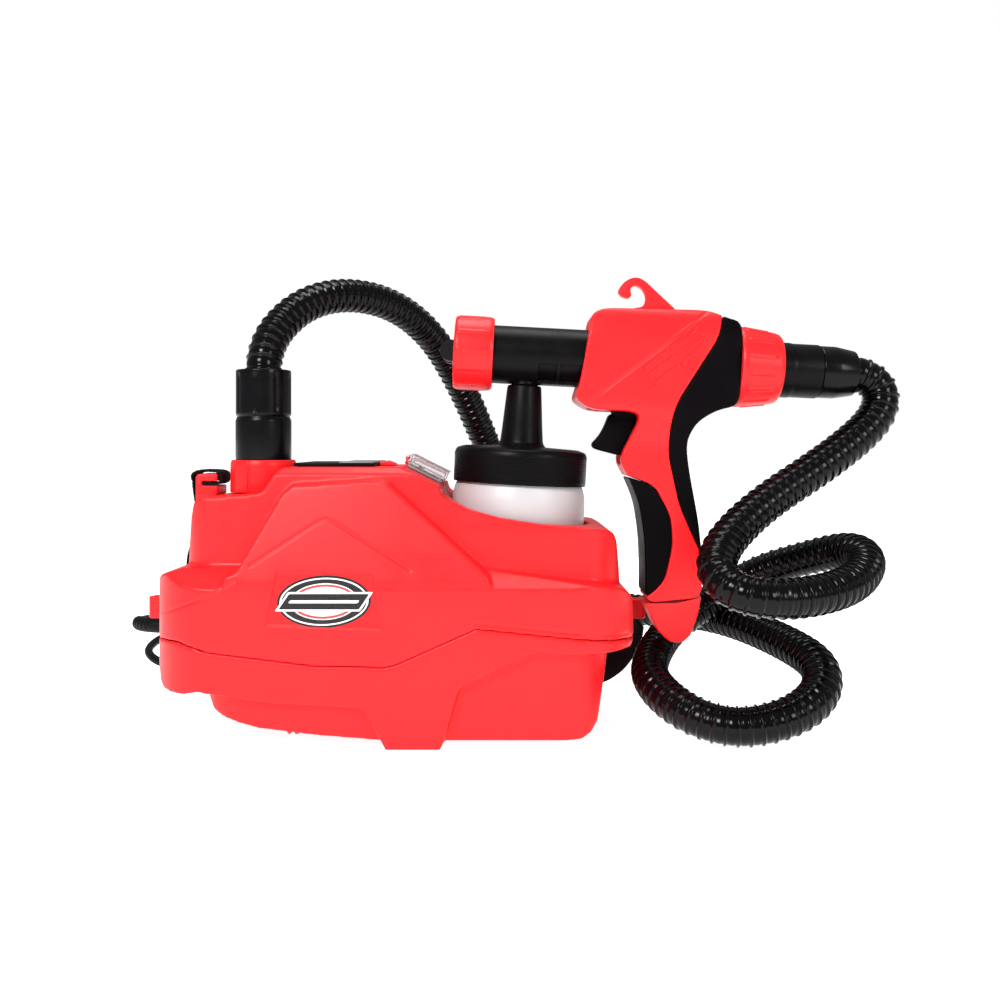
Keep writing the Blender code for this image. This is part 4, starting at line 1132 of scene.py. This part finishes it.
def cup_group():
    profile = rounded([(0, -70.5), (16, -70.5), (44, -71.6), (50.2, -73.6), (51.5, -77.5)], 2.0, 4,
                      closed=False)
    for k in range(11):
        start = -78.6 - k * 1.75
        profile += [(51.5, start), (51.5, start - 0.9), (51.25, start - 1.15), (51.25, start - 1.5)]
    profile += [(51.3, -99.2), (48.4, -99.2), (48.4, -76.8), (5, -76.8), (5, -74), (0, -74)]
    lid = lathe(profile, 144)
    stem = lathe([(0, -72), *rounded([(20, -72), (16.8, -68), (15.6, -55), (13.2, -23.4), (10, -23.2),
                                      (10, -6.6)], 2.0, 3, closed=False), (0, -6.6)], 96)
    lid = cut(join(lid, stem), rod(4.2, -90, -20, 32))
    placed(lid, "cup_cover", BLACK, "gun", ("cup_lid",), GUN)
    cup = lathe([(0, CUP_BOTTOM), *rounded([(43, CUP_BOTTOM), (46.5, CUP_BOTTOM + 4), (51.8, -122),
                 (51.3, -109), (49.6, -101.5), (47.6, -98.6), (47.6, -79.6), (45.6, -79.6),
                 (45.6, -105), (49.4, -109), (49.4, -122), (44.4, CUP_BOTTOM + 5.5)], 2.5, 4,
                 closed=False), (0, CUP_BOTTOM + 2.6)], 144)
    placed(cup, "cup", MILKY, "paint_cup", ("paint_cup",), GUN)
    straw = lathe(rounded([(2.2, CUP_BOTTOM + 12), (3.6, CUP_BOTTOM + 12), (3.6, -24), (2.2, -24)], 0.3, 2),
                  40)
    placed(straw, "pickup_straw", MILKY, "gun", ("pickup_tube",), GUN)
    seal = lathe(rounded([(43, -79.2), (47.4, -79.2), (47.4, -77.4), (43, -77.4)], 0.5, 2), 96)
    placed(seal, "cup_seal", RUBBER, "gun", ("cup_gasket",), GUN)


def rear_end():
    heights = [168, 169, 170, 178, 186, 187, 188]
    outer = [(22.5, 162.4), (30.6, 162.4), (31.2, 163.4), (31.4, 165)] \
        + [(31.35 - (h - 165) * 0.136, h) for h in heights] \
        + [(27.6, 191.5), (26.6, 194.4), (25.4, 195.5), (22.5, 195.5)]
    nut = lathe(outer, 288, "X", wave=ribs(14, 3.0, 0.75, 168.5, 187.5, 28))
    placed(nut, "gun_ring", RED, "rear_nut", ("rear_nut",), GUN)
    sleeve = lathe(rounded([(15.6, 130), (17.4, 130), (17.4, 172), (21.2, 172), (21.4, 175),
                            (21.4, 204), (20.9, 206), (20.9, 226.6), (16, 226.6), (15.6, 176)], 0.8, 3),
                   112, "X", at=(0, 0, -0.6))
    placed(sleeve, "gun_sleeve", BLACK, "gun", ("gun_connector",), GUN)
    cuff = lathe(rounded([(14.3, 210), (15.4, 210), (15.4, 227.2), (20.2, 227.2), (20.2, 240),
                          (17.4, 255), (14.3, 255)], 1.0, 3), 112, "X", at=(0, 0, -0.6))
    placed(cuff, "hose_cuff_gun", BLACK_GLOSS, "gun_cuff", ("gun_cuff",), GUN)


def trigger_group():
    blade = prism(rounded(TRIGGER_BLADE, 4, 4), -7.6, 7.6)
    blade = bevelled(blade, 2.2, 4)
    arm = [(73, 23), (86, 23), (87, -44), (69, -44)]
    blade = join(blade, prism(rounded(arm, 4, 3), -8, -5.2), prism(rounded(arm, 4, 3), 5.2, 8))
    pivot = (TRIGGER_PIVOT[0], 0, TRIGGER_PIVOT[1])
    blade = cut(blade, rod(2.65, -12, 12, 32, "Y", at=pivot))
    placed(blade, "trigger_lever", BLACK_SOFT, "trigger", ("trigger",), GUN)


def keep_the_rest():
    """Every CAD node that still shows gets its detailed finish."""
    for name, obj in NODES.items():
        if obj.hide_render:
            continue
        obj.data.materials.clear()
        obj.data.materials.append(SLOT_LOOKS[SLOTS[name]])


camera_and_light()
air_hose()
power_lead()
shoulder_strap()
upper_shell()
lower_shell()
emblem()
case_fittings()
gun_bodies()
trigger_group()
front_end()
cup_group()
rear_end()
keep_the_rest()
